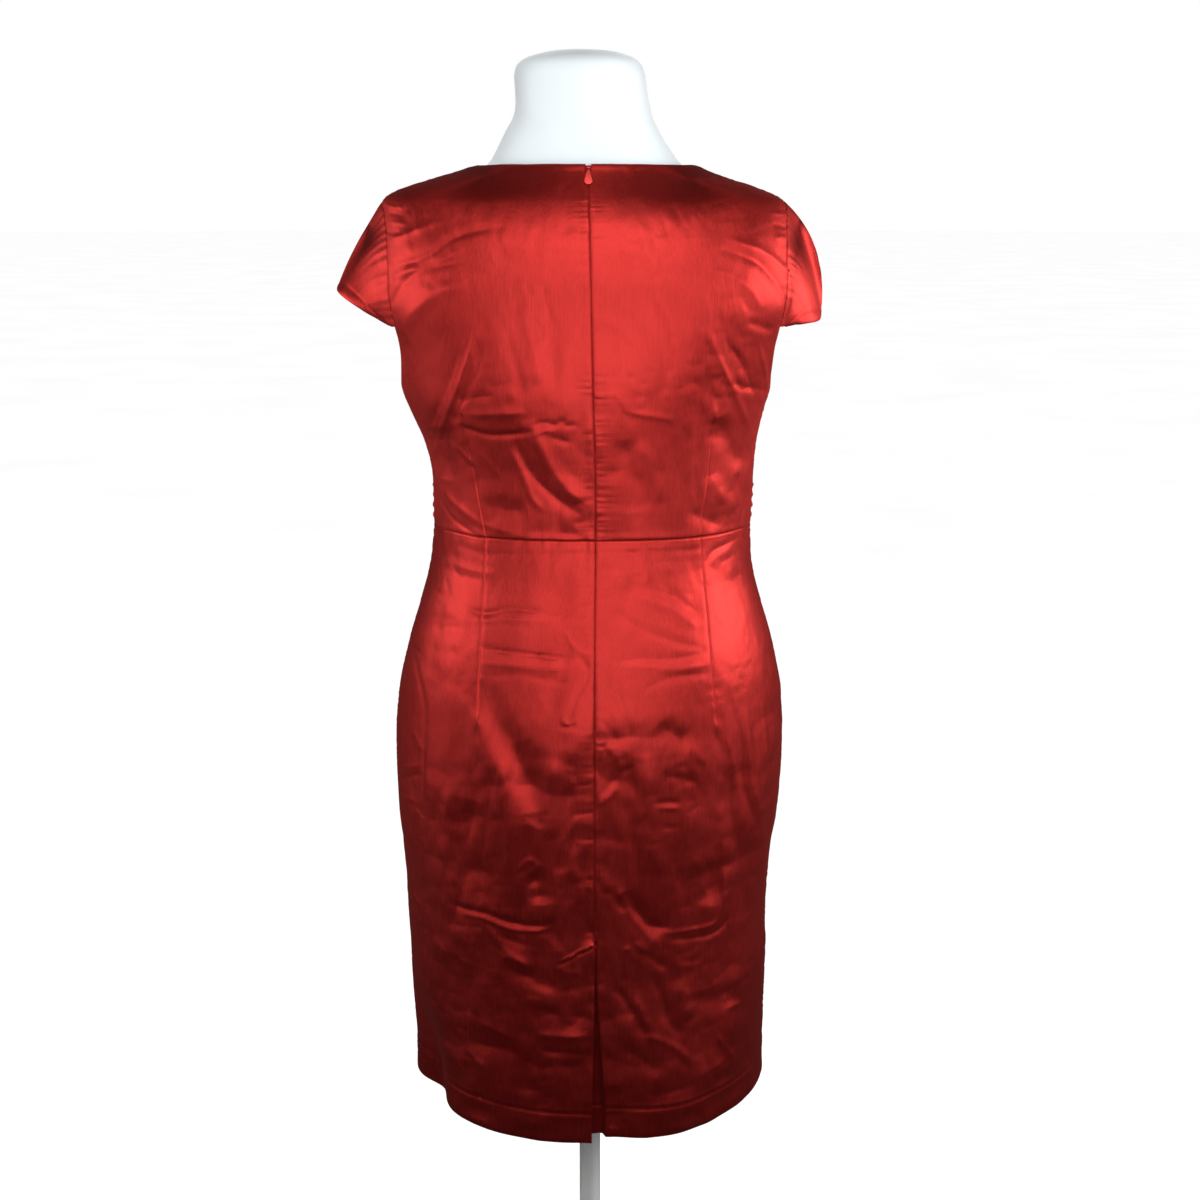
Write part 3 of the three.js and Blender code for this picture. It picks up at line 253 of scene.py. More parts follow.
    (-1.09, 3.5, [(50, 655), (61, 646), (77, 633)]),
    (0.59, 3.5, [(77, 640), (99, 632), (113, 633)]),
    (0.46, 1.5, [(95, 646), (101, 641), (108, 651)]),
    (-1.18, 2.9, [(22, 623), (30, 612), (37, 602), (46, 585), (54, 566)]),
    (0.84, 2.6, [(44, 610), (51, 595), (59, 573)]),
    (-1.09, 3.5, [(59, 632), (65, 618), (72, 603), (78, 580), (93, 562)]),
    (1.6, 6.9, [(85, 621), (93, 599), (99, 577)]),
    (0.92, 2.9, [(54, 568), (72, 561), (90, 547), (104, 529)]),
    (-1.28, 6.1, [(30, 558), (50, 546), (70, 526)]),
    (0.59, 2.3, [(127, 554), (141, 529), (149, 514)]),
    (0.46, 2.3, [(136, 577), (154, 575)]),
    (-1.8, 14.1, [(114, 604), (114, 563), (123, 521)]),
    (1.12, 8.6, [(146, 623), (149, 580), (155, 534)]),
    (-1.12, 8.6, [(-110, 500), (-109, 471)]),
    (1.28, 10.4, [(-58, 513), (-56, 472)]),
    (-1.28, 8.6, [(22, 520), (25, 476)]),
    (2.0, 11.5, [(86, 508), (90, 459)]),
    (-1.28, 8.6, [(133, 514), (140, 474)]),
]
# The hidden front gets creases of the same kinds.
CREASES_FRONT = [
    (-2.4, 5.0, [(-190, 1296), (-160, 1306), (-126, 1318), (-92, 1322)]),
    (1.8, 5.0, [(-186, 1282), (-156, 1292), (-120, 1303), (-96, 1308)]),
    (-2.6, 5.5, [(188, 1290), (160, 1304), (128, 1312), (98, 1316)]),
    (1.8, 4.5, [(180, 1274), (150, 1290), (116, 1300)]),
    (-2.0, 5.0, [(-150, 1212), (-120, 1196), (-84, 1188), (-50, 1192)]),
    (1.8, 5.0, [(-148, 1200), (-116, 1183), (-80, 1175)]),
    (-2.2, 5.0, [(152, 1206), (124, 1190), (96, 1184), (60, 1190)]),
    (1.6, 5.5, [(140, 1190), (110, 1172), (76, 1166)]),
    (1.5, 4.0, [(-20, 1240), (-36, 1200), (-44, 1160), (-60, 1128)]),
    (-1.7, 5.0, [(-8, 1230), (-22, 1190), (-30, 1156)]),
    (1.4, 4.0, [(26, 1224), (34, 1186), (50, 1150), (70, 1122)]),
    (-1.5, 5.0, [(14, 1214), (22, 1180), (36, 1148)]),
    (-2.0, 8.0, [(-96, 1150), (-110, 1120), (-118, 1096)]),
    (-2.0, 8.0, [(98, 1152), (112, 1124), (122, 1100)]),
    (-1.8, 4.5, [(-140, 1040), (-90, 1036), (-30, 1037), (40, 1036), (96, 1038), (140, 1042)]),
    (-2.2, 4.5, [(-120, 990), (-84, 984), (-50, 986), (-24, 984)]),
    (1.6, 5.0, [(-116, 978), (-80, 973), (-44, 975)]),
    (-2.4, 4.5, [(22, 1000), (58, 990), (96, 982), (126, 984)]),
    (1.6, 5.0, [(30, 990), (62, 979), (104, 970)]),
    (-2.8, 5.0, [(-130, 940), (-92, 932), (-50, 930), (-8, 934)]),
    (2.0, 6.0, [(-124, 926), (-86, 920), (-44, 918)]),
    (-2.4, 5.0, [(8, 926), (50, 918), (96, 922), (134, 934)]),
    (1.8, 6.0, [(20, 912), (60, 906), (108, 912)]),
    (-3.0, 10.0, [(84, 890), (66, 846), (56, 800), (52, 760)]),
    (2.8, 9.0, [(106, 886), (90, 836), (78, 786), (72, 730), (60, 690)]),
    (-2.8, 9.0, [(-66, 880), (-54, 830), (-50, 780)]),
    (2.4, 9.0, [(-90, 870), (-78, 820), (-74, 760), (-66, 706)]),
    (-2.8, 5.0, [(-128, 706), (-96, 694), (-60, 684), (-24, 688)]),
    (2.0, 3.6, [(-120, 698), (-90, 686), (-56, 676), (-26, 680)]),
    (-2.8, 6.0, [(26, 716), (52, 690), (84, 676), (120, 680)]),
    (1.9, 4.0, [(30, 704), (56, 680), (88, 667), (124, 670)]),
    (-2.6, 6.0, [(-20, 640), (-36, 606), (-44, 574), (-66, 548)]),
    (2.0, 5.0, [(-36, 646), (-52, 610), (-60, 578)]),
    (-2.4, 6.0, [(44, 620), (58, 590), (62, 560), (82, 530)]),
    (2.0, 8.0, [(70, 610), (84, 576), (92, 548)]),
    (2.0, 9.0, [(-110, 600), (-118, 556), (-112, 510)]),
    (-1.8, 14.0, [(-80, 548), (-84, 500), (-80, 470)]),
    (1.8, 12.0, [(20, 540), (22, 500), (20, 466)]),
    (-1.8, 12.0, [(110, 560), (114, 510), (112, 470)]),
    (1.4, 3.0, [(-186, 860), (-176, 852), (-166, 846)]),
    (-1.4, 3.0, [(-188, 848), (-178, 842), (-168, 834)]),
    (1.4, 3.0, [(186, 800), (176, 790), (168, 780)]),
    (-1.4, 3.0, [(186, 786), (178, 778), (170, 768)]),
]
TUCKS = [(1059.0, 1.8, 150.0), (1069.0, 2.2, 185.0), (1079.0, 2.0, 165.0), (1088.5, 1.6, 130.0)]
TUCK_HALF = 5.0
# darts: where, x and z at each end
DARTS = [
    ("back", -98.5, 1051, -121, 1176), ("back", 106.6, 1051, 118.6, 1172),
    ("back", -97.5, 1051, -107, 878), ("back", 107.5, 1051, 123, 870),
    ("front", -88, 1051, -96, 940), ("front", 90, 1051, 98, 940),
]


def smooth(x):
    t = np.clip(x, 0, 1)
    return t * t * (3 - 2 * t)


def hermite(zs, vs, z):
    """Monotone cubic through the table, the same as the CAD uses."""
    d = np.diff(vs) / np.diff(zs)
    m = np.zeros(len(zs))
    m[0], m[-1] = d[0], d[-1]
    for i in range(1, len(zs) - 1):
        m[i] = 0 if d[i - 1] * d[i] <= 0 else 2 * d[i - 1] * d[i] / (d[i - 1] + d[i])
    z = np.asarray(z, float)
    i = np.clip(np.searchsorted(zs, z, side="right") - 1, 0, len(zs) - 2)
    h = zs[i + 1] - zs[i]
    t = np.clip((z - zs[i]) / h, -0.2, 1.2)
    t2, t3 = t * t, t * t * t
    return ((2 * t3 - 3 * t2 + 1) * vs[i] + (t3 - 2 * t2 + t) * h * m[i]
            + (3 * t2 - 2 * t3) * vs[i + 1] + (t3 - t2) * h * m[i + 1])


def gauss_smooth(v, sigma):
    r = int(3 * sigma)
    k = np.exp(-0.5 * (np.arange(-r, r + 1) / sigma) ** 2)
    k /= k.sum()
    lo = 2 * v[0] - v[r:0:-1]
    hi = 2 * v[-1] - v[-2:-r - 2:-1]
    return np.convolve(np.concatenate([lo, v, hi]), k, mode="valid")


# ------------------------------------------------ sections as dense tables
Z0, Z1 = 428, 1410
ZT = np.arange(Z0, Z1 + 1, 1.0)
FN = 401


def table(where):
    back = where == "back"
    cols = {"cx": 1, "a": 2, "d": 3 if back else 4, "n": 5 if back else 7, "m": 6 if back else 8}
    v = {}
    mix = smooth((ZT - 1290) / 50)
    for key, c in cols.items():
        raw = hermite(SECTIONS[:, 0], SECTIONS[:, c], ZT)
        v[key] = gauss_smooth(raw, 11) * (1 - mix) + gauss_smooth(raw, 3) * mix
    t = np.linspace(0, math.pi / 2, 900)[None, :]
    x = v["a"][:, None] * np.sin(t) ** (2 / v["n"][:, None])
    y = v["d"][:, None] * np.clip(np.cos(t), 0, 1) ** (2 / v["m"][:, None])
    x[:, -1], y[:, -1] = v["a"], 0
    seg = np.hypot(np.diff(x, axis=1), np.diff(y, axis=1))
    ln = np.concatenate([np.zeros((len(ZT), 1)), np.cumsum(seg, axis=1)], axis=1)
    half = ln[:, -1]
    f = np.linspace(0, 1, FN)
    X, Y = np.empty((len(ZT), FN)), np.empty((len(ZT), FN))
    for i in range(len(ZT)):
        X[i] = np.interp(f * half[i], ln[i], x[i])
        Y[i] = np.interp(f * half[i], ln[i], y[i])
    return {"X": X, "Y": -Y if back else Y, "half": half, "cx": v["cx"]}


T = {"back": table("back"), "front": table("front")}


def half(where, z):
    return np.interp(z, ZT, T[where]["half"])


def mid_x(z):
    return np.interp(z, ZT, T["back"]["cx"])


def on_frac(where, f, z):
    """Point of the section at a signed fraction of its half length."""
    t = T[where]
    zi = np.clip(z - Z0, 0, len(ZT) - 1.001)
    i = zi.astype(int)
    u = zi - i
    g = np.clip(np.abs(f), 0, 1) * (FN - 1)
    j = np.minimum(g.astype(int), FN - 2)
    w = g - j

    def pick(A):
        return ((A[i, j] * (1 - w) + A[i, j + 1] * w) * (1 - u)
                + (A[i + 1, j] * (1 - w) + A[i + 1, j + 1] * w) * u)
    x = np.interp(z, ZT, t["cx"]) + np.where(f < 0, -1, 1) * pick(t["X"])
    return np.stack([x, pick(t["Y"]), z], -1)


def s_at_x(where, x, z):
    """Arc length from the centre line to the point at x, for arrays of the same shape."""
    x, z = np.broadcast_arrays(np.asarray(x, float), np.asarray(z, float))
    out = np.empty(x.shape)
    for k in np.ndindex(x.shape):
        i = int(np.clip(round(z[k] - Z0), 0, len(ZT) - 1))
        row = T[where]["X"][i]
        q = np.interp(abs(x[k] - T[where]["cx"][i]), row, np.linspace(0, 1, FN))
        out[k] = math.copysign(q * T[where]["half"][i], x[k] - T[where]["cx"][i])
    return out


def s_at_depth(where, depth, z):
    depth, z = np.broadcast_arrays(np.asarray(depth, float), np.asarray(z, float))
    out = np.empty(z.shape)
    for k in np.ndindex(z.shape):
        zi = np.clip(z[k] - Z0, 0, len(ZT) - 1.001)
        i, u = int(zi), zi - int(zi)
        row = np.abs(T[where]["Y"][i] * (1 - u) + T[where]["Y"][i + 1] * u)
        out[k] = np.interp(-depth[k], -row, np.linspace(0, 1, FN)) * (T[where]["half"][i] * (1 - u) + T[where]["half"][i + 1] * u)
    return out


def centre_back(z):
    return hermite(CENTRE_BACK[:, 0], CENTRE_BACK[:, 1], z)


def arm_edge(where, z):
    """Arc length from the centre line to the panel's outer edge: side seam, armhole or shoulder."""
    z = np.asarray(z, float)
    c = np.clip((ARM_Z - z) / ARM_HALF_H, -1, 1)
    reach = np.sqrt(1 - c * c)
    h = half(where, z)
    inside = reach > 1e-4
    out = h.copy()
    if inside.any():
        out[inside] = s_at_depth(where, reach[inside] * (ARM_BACK if where == "back" else ARM_FRONT), z[inside])
    return out


# --------------------------------------------------------------- displacement
def value_noise(u, v, seed):
    """Smooth noise from a seeded lattice, one unit per cell, about -1 to 1."""
    rng = np.random.default_rng(seed)
    lat = rng.uniform(-1, 1, (64, 64))
    iu, iv = np.floor(u).astype(int), np.floor(v).astype(int)
    fu, fv = u - iu, v - iv
    fu, fv = fu ** 3 * (fu * (fu * 6 - 15) + 10), fv ** 3 * (fv * (fv * 6 - 15) + 10)
    a = lat[iu % 64, iv % 64]
    b = lat[(iu + 1) % 64, iv % 64]
    c = lat[iu % 64, (iv + 1) % 64]
    d = lat[(iu + 1) % 64, (iv + 1) % 64]
    return (a * (1 - fu) + b * fu) * (1 - fv) + (c * (1 - fu) + d * fu) * fv


def curve(points, n=15):
    """A Catmull-Rom curve through the points."""
    p = np.array(points, float)
    p = np.vstack([2 * p[0] - p[1], p, 2 * p[-1] - p[-2]])
    out = []
    k = len(p) - 3
    steps = max(3, n // k)
    for i in range(k):
        for t in np.linspace(0, 1, steps, endpoint=False):
            a, b, c, d = p[i:i + 4]
            out.append(0.5 * ((2 * b) + (-a + c) * t + (2 * a - 5 * b + 4 * c - d) * t * t
                              + (-a + 3 * b - 3 * c + d) * t ** 3))
    out.append(p[-2])
    return np.array(out)


def along_curve(points, x, z, reach):
    """Distance to the curve and place along it (0 to 1), for points within reach; far ones are skipped."""
    c = curve(points)
    seg = np.diff(c, axis=0)
    ln = np.hypot(seg[:, 0], seg[:, 1])
    cum = np.concatenate([[0], np.cumsum(ln)])
    lo, hi = c.min(0) - reach, c.max(0) + reach
    near = np.nonzero((x > lo[0]) & (x < hi[0]) & (z > lo[1]) & (z < hi[1]))
    px, pz = x[near], z[near]
    best = np.full(px.shape, 1e9)
    place = np.zeros(px.shape)
    for i in range(len(seg)):
        if ln[i] < 1e-6:
            continue
        t = np.clip(((px - c[i, 0]) * seg[i, 0] + (pz - c[i, 1]) * seg[i, 1]) / ln[i] ** 2, 0, 1)
        d = np.hypot(px - c[i, 0] - t * seg[i, 0], pz - c[i, 1] - t * seg[i, 1])
        m = d < best
        best[m] = d[m]
        place[m] = (cum[i] + t[m] * ln[i]) / cum[-1]
    return near, best, place, cum[-1]


def creases(rows, x, z):
    h = np.zeros(x.shape)
    for k, (height, width, points) in enumerate(rows):
        near, d, place, length = along_curve(points, x, z, 3.2 * width)
        if not len(d):
            continue
        end = np.clip(np.minimum(place, 1 - place) * length / max(0.28 * length, 1.2 * width), 0, 1)
        taper = np.sin(end * math.pi / 2)
        # the crease wanders a little in strength along its length
        taper *= 1 + 0.18 * np.sin(place * 9 + k) * np.sin(place * 4.3 + 2 * k)
        core = np.exp(-0.5 * (d / width) ** 2)
        crisp = 0.42 * smooth((9.0 - width) / 4.0)
        core = (1 - crisp) * core + crisp * np.exp(-d / (0.62 * width))
        h[near] += height * CREASE_GAIN * taper * core
    return h


CREASE_GAIN = 1.15
CRUMPLE = 1.7


def dart_lines(where, x, z):
    """Stitched dart: a fine sunk line with the cloth pinched up beside it, strongest at its tip."""
    h = np.zeros(x.shape)
    for k, (side, xa, za, xb, zb) in enumerate(DARTS):
        if side != where:
            continue
        t = (z - za) / (zb - za)
        xd = xa + (xb - xa) * t
        d = x - xd
        live = (t > -0.001) & (t < 1.0)
        fade = np.where(live, 1 - smooth((t - 0.93) / 0.07), 0)
        h += fade * (-0.95 * np.exp(-np.abs(d) / 0.75) + 0.05 * np.exp(-((np.abs(d) - 3.2) / 2.2) ** 2))
        # pucker at the tip
        dz = (z - zb) * np.sign(zb - za)
        h += 0.9 * np.exp(-((dz + 3) / 7) ** 2) * np.exp(-(d / 3.4) ** 2) * (1 if dz.size else 1)
        h -= 0.8 * np.exp(-((dz - 12) / 10) ** 2) * np.exp(-(d / 5) ** 2)
        # small pulls along the stitching
        wob = np.sin(z / 2.9 + 3 * np.sin(z / 17.0 + k)) * (0.6 + 0.4 * np.sin(z / 9.1 + k))
        h += fade * 0.16 * wob * np.exp(-(np.abs(d) / 5.0))
    return h


def seam_puckers(d, along, wave, height, reach, seed):
    """Small gathers across a seam: d is the distance from it, along runs with it."""
    w = wave * (1 + 0.25 * value_noise(along / 23.0, along * 0 + 0.5, seed))
    ph = 2 * math.pi * along / w + 2.2 * value_noise(along / 14.0, along * 0 + 3.5, seed + 1)
    amp = 0.55 + 0.75 * value_noise(along / 19.0, along * 0 + 7.5, seed + 2)
    return height * np.clip(amp, 0, 1.4) * np.sin(ph) * np.exp(-d / reach)


def crumple(u, v, seed):
    """Facets that meet in crisp, wandering lines, as pressed satin shows."""
    a = value_noise(u, v, seed)
    b = value_noise(u * 1.9 + 3.3, v * 1.7 + 8.1, seed + 1)
    return np.sqrt(a * a + 0.0016) - 0.45 + 0.4 * (np.sqrt(b * b + 0.0025) - 0.4)


def body_relief(where, x, z, s, halves):
    """Everything that the cloth does besides its cut: folds, creases, darts and the waist seam."""
    side = smooth((halves - np.abs(s)) / 16.0)
    if where == "back":
        h = creases(CREASES_BACK, x, z)
        big = 1.15 * value_noise(x / 36 + 5, z / 74 + 2, 11) + 0.50 * value_noise(x / 17 + 9, z / 31 + 4, 12)
        big += 0.20 * value_noise(x / 8 + 3, z / 14 + 1, 13) + 0.055 * value_noise(x / 3.9 + 6, z / 6.5 + 9, 14)
    else:
        h = creases(CREASES_FRONT, x, z)
        big = 1.15 * value_noise(x / 38 + 25, z / 72 + 12, 21) + 0.50 * value_noise(x / 17 + 19, z / 31 + 14, 22)
        big += 0.20 * value_noise(x / 8 + 13, z / 14 + 11, 23) + 0.055 * value_noise(x / 4.2 + 16, z / 7 + 9, 24)
    off = 0 if where == "back" else 50
    patch = smooth(0.55 + 0.9 * value_noise(x / 70 + off, z / 90 + 3, 15))
    low = smooth((1000 - z) / 160)
    # long lines lean outward and downward from the centre
    lean = x + 0.35 * np.abs(x - 5) * 0 + 0.45 * (z - 800) * np.sign(x) * 0.4
    h = h + CRUMPLE * (0.35 + 0.65 * patch) * crumple(lean / 31 + off, z / 47 + off, 16) * (0.55 + 0.45 * low)
    pinch = smooth(0.2 + 1.3 * value_noise(x / 46 + off + 7, z / 60 + 31, 17))
    h = h + CRUMPLE * 0.34 * pinch * crumple((x + 0.3 * z) / 13 + off, (z - 0.2 * x) / 18 + off, 18)
    h = h * smooth((halves - np.abs(s)) / 7.0) + big * side * (0.42 + 0.50 * low)
    # the large fold that leaves the lower left back hollow before its side seam
    if where == "back":
        t = smooth((600 - z) / 120)
        h += -17.0 * t * np.exp(-0.5 * ((s + 206) / 22) ** 2) * smooth((halves - np.abs(s)) / 12.0)
        # the small of the back stays hollow below the waist seam, but not over the stiff zip
        off_zip = smooth((np.abs(x - 6) - 13) / 20)
        h += -1.9 * off_zip * np.exp(-((x - 2) / 66) ** 2) * np.exp(-((z - 1004) / 23) ** 2)
    # waist seam
    dw = z - WAIST_Z
    h += -0.9 * np.exp(-np.abs(dw) / 0.8) + 0.10 * np.exp(-((np.abs(dw) - 3.4) / 2.4) ** 2) - 0.22 * np.exp(-((dw + 3.6) / 0.9) ** 2)
    h += np.where(dw < 0, 1, 0.6) * seam_puckers(np.abs(dw), x + (0 if where == "back" else 400), 13.0, 0.3, 9.0, 31)
    h += dart_lines(where, x, z)
    return h


def side_seam_relief(d, z, seed):
    """Pressed seam with small pulls; d is the distance from the seam."""
    return -0.85 * np.exp(-d / 0.9) + seam_puckers(d, z, 15.0, 0.45, 8.0, seed)


def front_tucks(s, z, halves):
    h = np.zeros(s.shape)
    inward = halves - np.abs(s)
    for tz, th, reach in TUCKS:
        wander = 2.2 * np.sin(inward / 31.0 + tz) * smooth(inward / 60.0)
        dz = np.abs(z - tz - wander)
        prof = np.where(dz < TUCK_HALF, np.cos(math.pi / 2 * np.clip(dz / TUCK_HALF, 0, 1)) ** 2, 0)
        h += th * prof * (1 - smooth(inward / reach))
    return h


def surface(where, s, z, relief):
    """Outer surface with its relief in mm: points and outward normals."""
    halves = half(where, z)
    f = s / halves
    e = 1.5
    p = on_frac(where, f, z)
    ds = on_frac(where, np.clip(f + e / halves, -1, 1), z) - on_frac(where, np.clip(f - e / halves, -1, 1), z)
    dz = on_frac(where, f, np.minimum(z + e, Z1)) - on_frac(where, f, np.maximum(z - e, Z0))
    n = np.cross(ds, dz)
    n /= np.linalg.norm(n, axis=-1, keepdims=True)
    flip = np.where(n[..., 1] * (-1 if where == "back" else 1) < 0, -1, 1)
    n = n * flip[..., None]
    k = smooth((4 - (halves - np.abs(s))) / 4)
    n[..., 1] *= 1 - k
    n /= np.linalg.norm(n, axis=-1, keepdims=True)
    bad = (np.abs(n[..., 0]) > 0.2) & (n[..., 0] * s < 0)
    n[bad] *= -1
    return p + n * relief[..., None], n


# ------------------------------------------------------------------ mesh tools
EDGE = np.array([0, 0.35, 0.8, 1.5, 2.5, 4.0])


def spread(a, b, n, edge_a=True, edge_b=True):
    """n+1 places from a to b per row, close together at a sewn edge. a and b are arrays."""
    a, b = np.asarray(a, float)[:, None], np.asarray(b, float)[:, None]
    sgn = np.sign(b - a)
    ln = np.abs(b - a)
    scale = np.minimum(1, ln / 24.0)
    first = EDGE[None, :] * scale if edge_a else np.zeros((len(a), 1))
    last = EDGE[::-1][None, :] * scale if edge_b else np.zeros((len(a), 1))
    k = n + 1 - first.shape[1] - last.shape[1]
    t = (np.arange(1, k + 1) / (k + 1))[None, :]
    mid = first[:, -1:] + (ln - last[:, :1] - first[:, -1:]) * t
    return a + sgn * np.concatenate([first, mid, ln - last], axis=1)


def smooth_normals(P):
    """Normals of a grid of points."""
    du = np.empty_like(P)
    dv = np.empty_like(P)
    du[:, 1:-1] = P[:, 2:] - P[:, :-2]
    du[:, 0], du[:, -1] = P[:, 1] - P[:, 0], P[:, -1] - P[:, -2]
    dv[1:-1] = P[2:] - P[:-2]
    dv[0], dv[-1] = P[1] - P[0], P[-1] - P[-2]
    n = np.cross(du, dv)
    ln = np.linalg.norm(n, axis=-1, keepdims=True)
    return n / np.maximum(ln, 1e-9)


def mesh_object(name, verts_mm, faces, material, body="root", sharp=38):
    me = bpy.data.meshes.new(name)
    v = np.asarray(verts_mm, float) / 1000.0
    if isinstance(faces, np.ndarray):
        n = len(faces)
        me.vertices.add(len(v))
        me.vertices.foreach_set("co", v.ravel())
        me.loops.add(n * 4)
        me.loops.foreach_set("vertex_index", faces.ravel())
        me.polygons.add(n)
        me.polygons.foreach_set("loop_start", np.arange(0, n * 4, 4))
        me.polygons.foreach_set("loop_total", np.full(n, 4))
        me.update(calc_edges=True)
    else:
        me.from_pydata(v.tolist(), [], faces)
    me.validate()
    me.materials.append(material)
    me.polygons.foreach_set("use_smooth", np.ones(len(me.polygons), bool))
    if sharp:
        me.set_sharp_from_angle(angle=math.radians(sharp))
    ob = bpy.data.objects.new(name, me)
    bpy.context.scene.collection.objects.link(ob)
    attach(ob, body)
    return ob


def shell(name, P, N, material, thick=CLOTH):
    """A closed sheet from a grid of outer points and outward normals, with turned-in edges."""
    R, C = P.shape[:2]
    th = np.broadcast_to(np.asarray(thick, float), (R, C))
    inner = P - N * th[..., None]
    o = np.arange(R * C).reshape(R, C)
    i = o + R * C
    q = [np.stack([o[:-1, :-1], o[:-1, 1:], o[1:, 1:], o[1:, :-1]], -1).reshape(-1, 4),
         np.stack([i[:-1, :-1], i[1:, :-1], i[1:, 1:], i[:-1, 1:]], -1).reshape(-1, 4),
         np.stack([o[0, :-1], i[0, :-1], i[0, 1:], o[0, 1:]], -1),
         np.stack([o[-1, :-1], o[-1, 1:], i[-1, 1:], i[-1, :-1]], -1),
         np.stack([o[:-1, 0], o[1:, 0], i[1:, 0], i[:-1, 0]], -1),
         np.stack([o[:-1, -1], i[:-1, -1], i[1:, -1], o[1:, -1]], -1)]
    faces = np.concatenate(q)
    mid = P[R // 2, C // 2]
    g = np.cross(P[R // 2, C // 2 + 1] - mid, P[R // 2 + 1, C // 2] - mid)
    if np.dot(g, N[R // 2, C // 2]) < 0:
        faces = faces[:, ::-1]
    return mesh_object(name, np.concatenate([P.reshape(-1, 3), inner.reshape(-1, 3)]), faces, material)


# ------------------------------------------------------------------ materials
def new_material(name):
    m = bpy.data.materials.new(name)
    m.use_nodes = True
    nt = m.node_tree
    nt.nodes.clear()
    out = nt.nodes.new("ShaderNodeOutputMaterial")
    bsdf = nt.nodes.new("ShaderNodeBsdfPrincipled")
    nt.links.new(bsdf.outputs[0], out.inputs[0])
    return m, nt, bsdf


def noise(nt, coords, scale, mapping=(1, 1, 1), detail=4, rough=0.55):
    mp = nt.nodes.new("ShaderNodeMapping")
    mp.inputs["Scale"].default_value = mapping
    nt.links.new(coords, mp.inputs["Vector"])
    n = nt.nodes.new("ShaderNodeTexNoise")
    n.inputs["Scale"].default_value = scale
    n.inputs["Detail"].default_value = detail
    n.inputs["Roughness"].default_value = rough
    nt.links.new(mp.outputs[0], n.inputs["Vector"])
    return n.outputs["Fac"]


def ramp(nt, fac, stops):
    r = nt.nodes.new("ShaderNodeValToRGB")
    el = r.color_ramp.elements
    el[0].position, el[0].color = stops[0][0], stops[0][1]
    el[1].position, el[1].color = stops[-1][0], stops[-1][1]
    for pos, col in stops[1:-1]:
        e = el.new(pos)
        e.color = col
    nt.links.new(fac, r.inputs[0])
    return r.outputs[0]


def math_node(nt, op, a, b):
    n = nt.nodes.new("ShaderNodeMath")
    n.operation = op
    for k, v in enumerate((a, b)):
        if isinstance(v, (int, float)):
            n.inputs[k].default_value = v
        else:
            nt.links.new(v, n.inputs[k])
    return n.outputs[0]


def map_range(nt, v, a, b, c, d):
    n = nt.nodes.new("ShaderNodeMapRange")
    for key, val in zip(("From Min", "From Max", "To Min", "To Max"), (a, b, c, d)):
        n.inputs[key].default_value = val
    nt.links.new(v, n.inputs["Value"])
    return n.outputs[0]


def satin():
    m, nt, b = new_material("red_satin")
    tc = nt.nodes.new("ShaderNodeTexCoord").outputs["Object"]
    # slubs: fine vertical streaks, about 1 to 2 mm wide and 15 mm long
    slub = noise(nt, tc, 1.0, (620, 620, 62), 5, 0.62)
    fine = noise(nt, tc, 1.0, (2300, 2300, 420), 2, 0.5)
    cross = noise(nt, tc, 1.0, (160, 160, 900), 3, 0.5)
    # tiny crisp wrinkles, 8 to 20 mm apart
    wrinkle = noise(nt, tc, 1.0, (62, 62, 40), 4, 0.5)
    wrinkle.node.noise_type = "RIDGED_MULTIFRACTAL"
    wrinkle.node.normalize = True
    broad = noise(nt, tc, 9.0, (1, 1, 0.6), 3, 0.5)
    tone = math_node(nt, "ADD", math_node(nt, "MULTIPLY", slub, 0.55), math_node(nt, "MULTIPLY", broad, 0.45))
    col = ramp(nt, tone, [(0.30, (0.440, 0.0195, 0.0165, 1)), (0.5, (0.530, 0.0280, 0.0235, 1)), (0.72, (0.630, 0.0390, 0.0330, 1))])
    nt.links.new(col, b.inputs["Base Color"])
    b.inputs["Metallic"].default_value = 0.86
    rgh = map_range(nt, math_node(nt, "ADD", math_node(nt, "MULTIPLY", slub, 0.7), math_node(nt, "MULTIPLY", fine, 0.3)), 0.3, 0.7, 0.40, 0.51)
    nt.links.new(rgh, b.inputs["Roughness"])
    b.inputs["Specular IOR Level"].default_value = 0.5
    b.inputs["Anisotropic"].default_value = 0.6
    tg = nt.nodes.new("ShaderNodeTangent")
    tg.direction_type, tg.axis = "RADIAL", "Z"
    nt.links.new(tg.outputs[0], b.inputs["Tangent"])
    b.inputs["Sheen Weight"].default_value = 0.05
    b.inputs["Sheen Roughness"].default_value = 0.45
    b.inputs["Sheen Tint"].default_value = (1.0, 0.35, 0.28, 1)
    height = math_node(nt, "ADD", math_node(nt, "ADD", math_node(nt, "MULTIPLY", slub, 1.15), math_node(nt, "MULTIPLY", wrinkle, 4.0)),
                       math_node(nt, "ADD", math_node(nt, "MULTIPLY", fine, 0.30), math_node(nt, "MULTIPLY", cross, 0.25)))
    bump = nt.nodes.new("ShaderNodeBump")
    bump.inputs["Strength"].default_value = 0.32
    bump.inputs["Distance"].default_value = 0.0004
    nt.links.new(height, bump.inputs["Height"])
    nt.links.new(bump.outputs[0], b.inputs["Normal"])
    return m


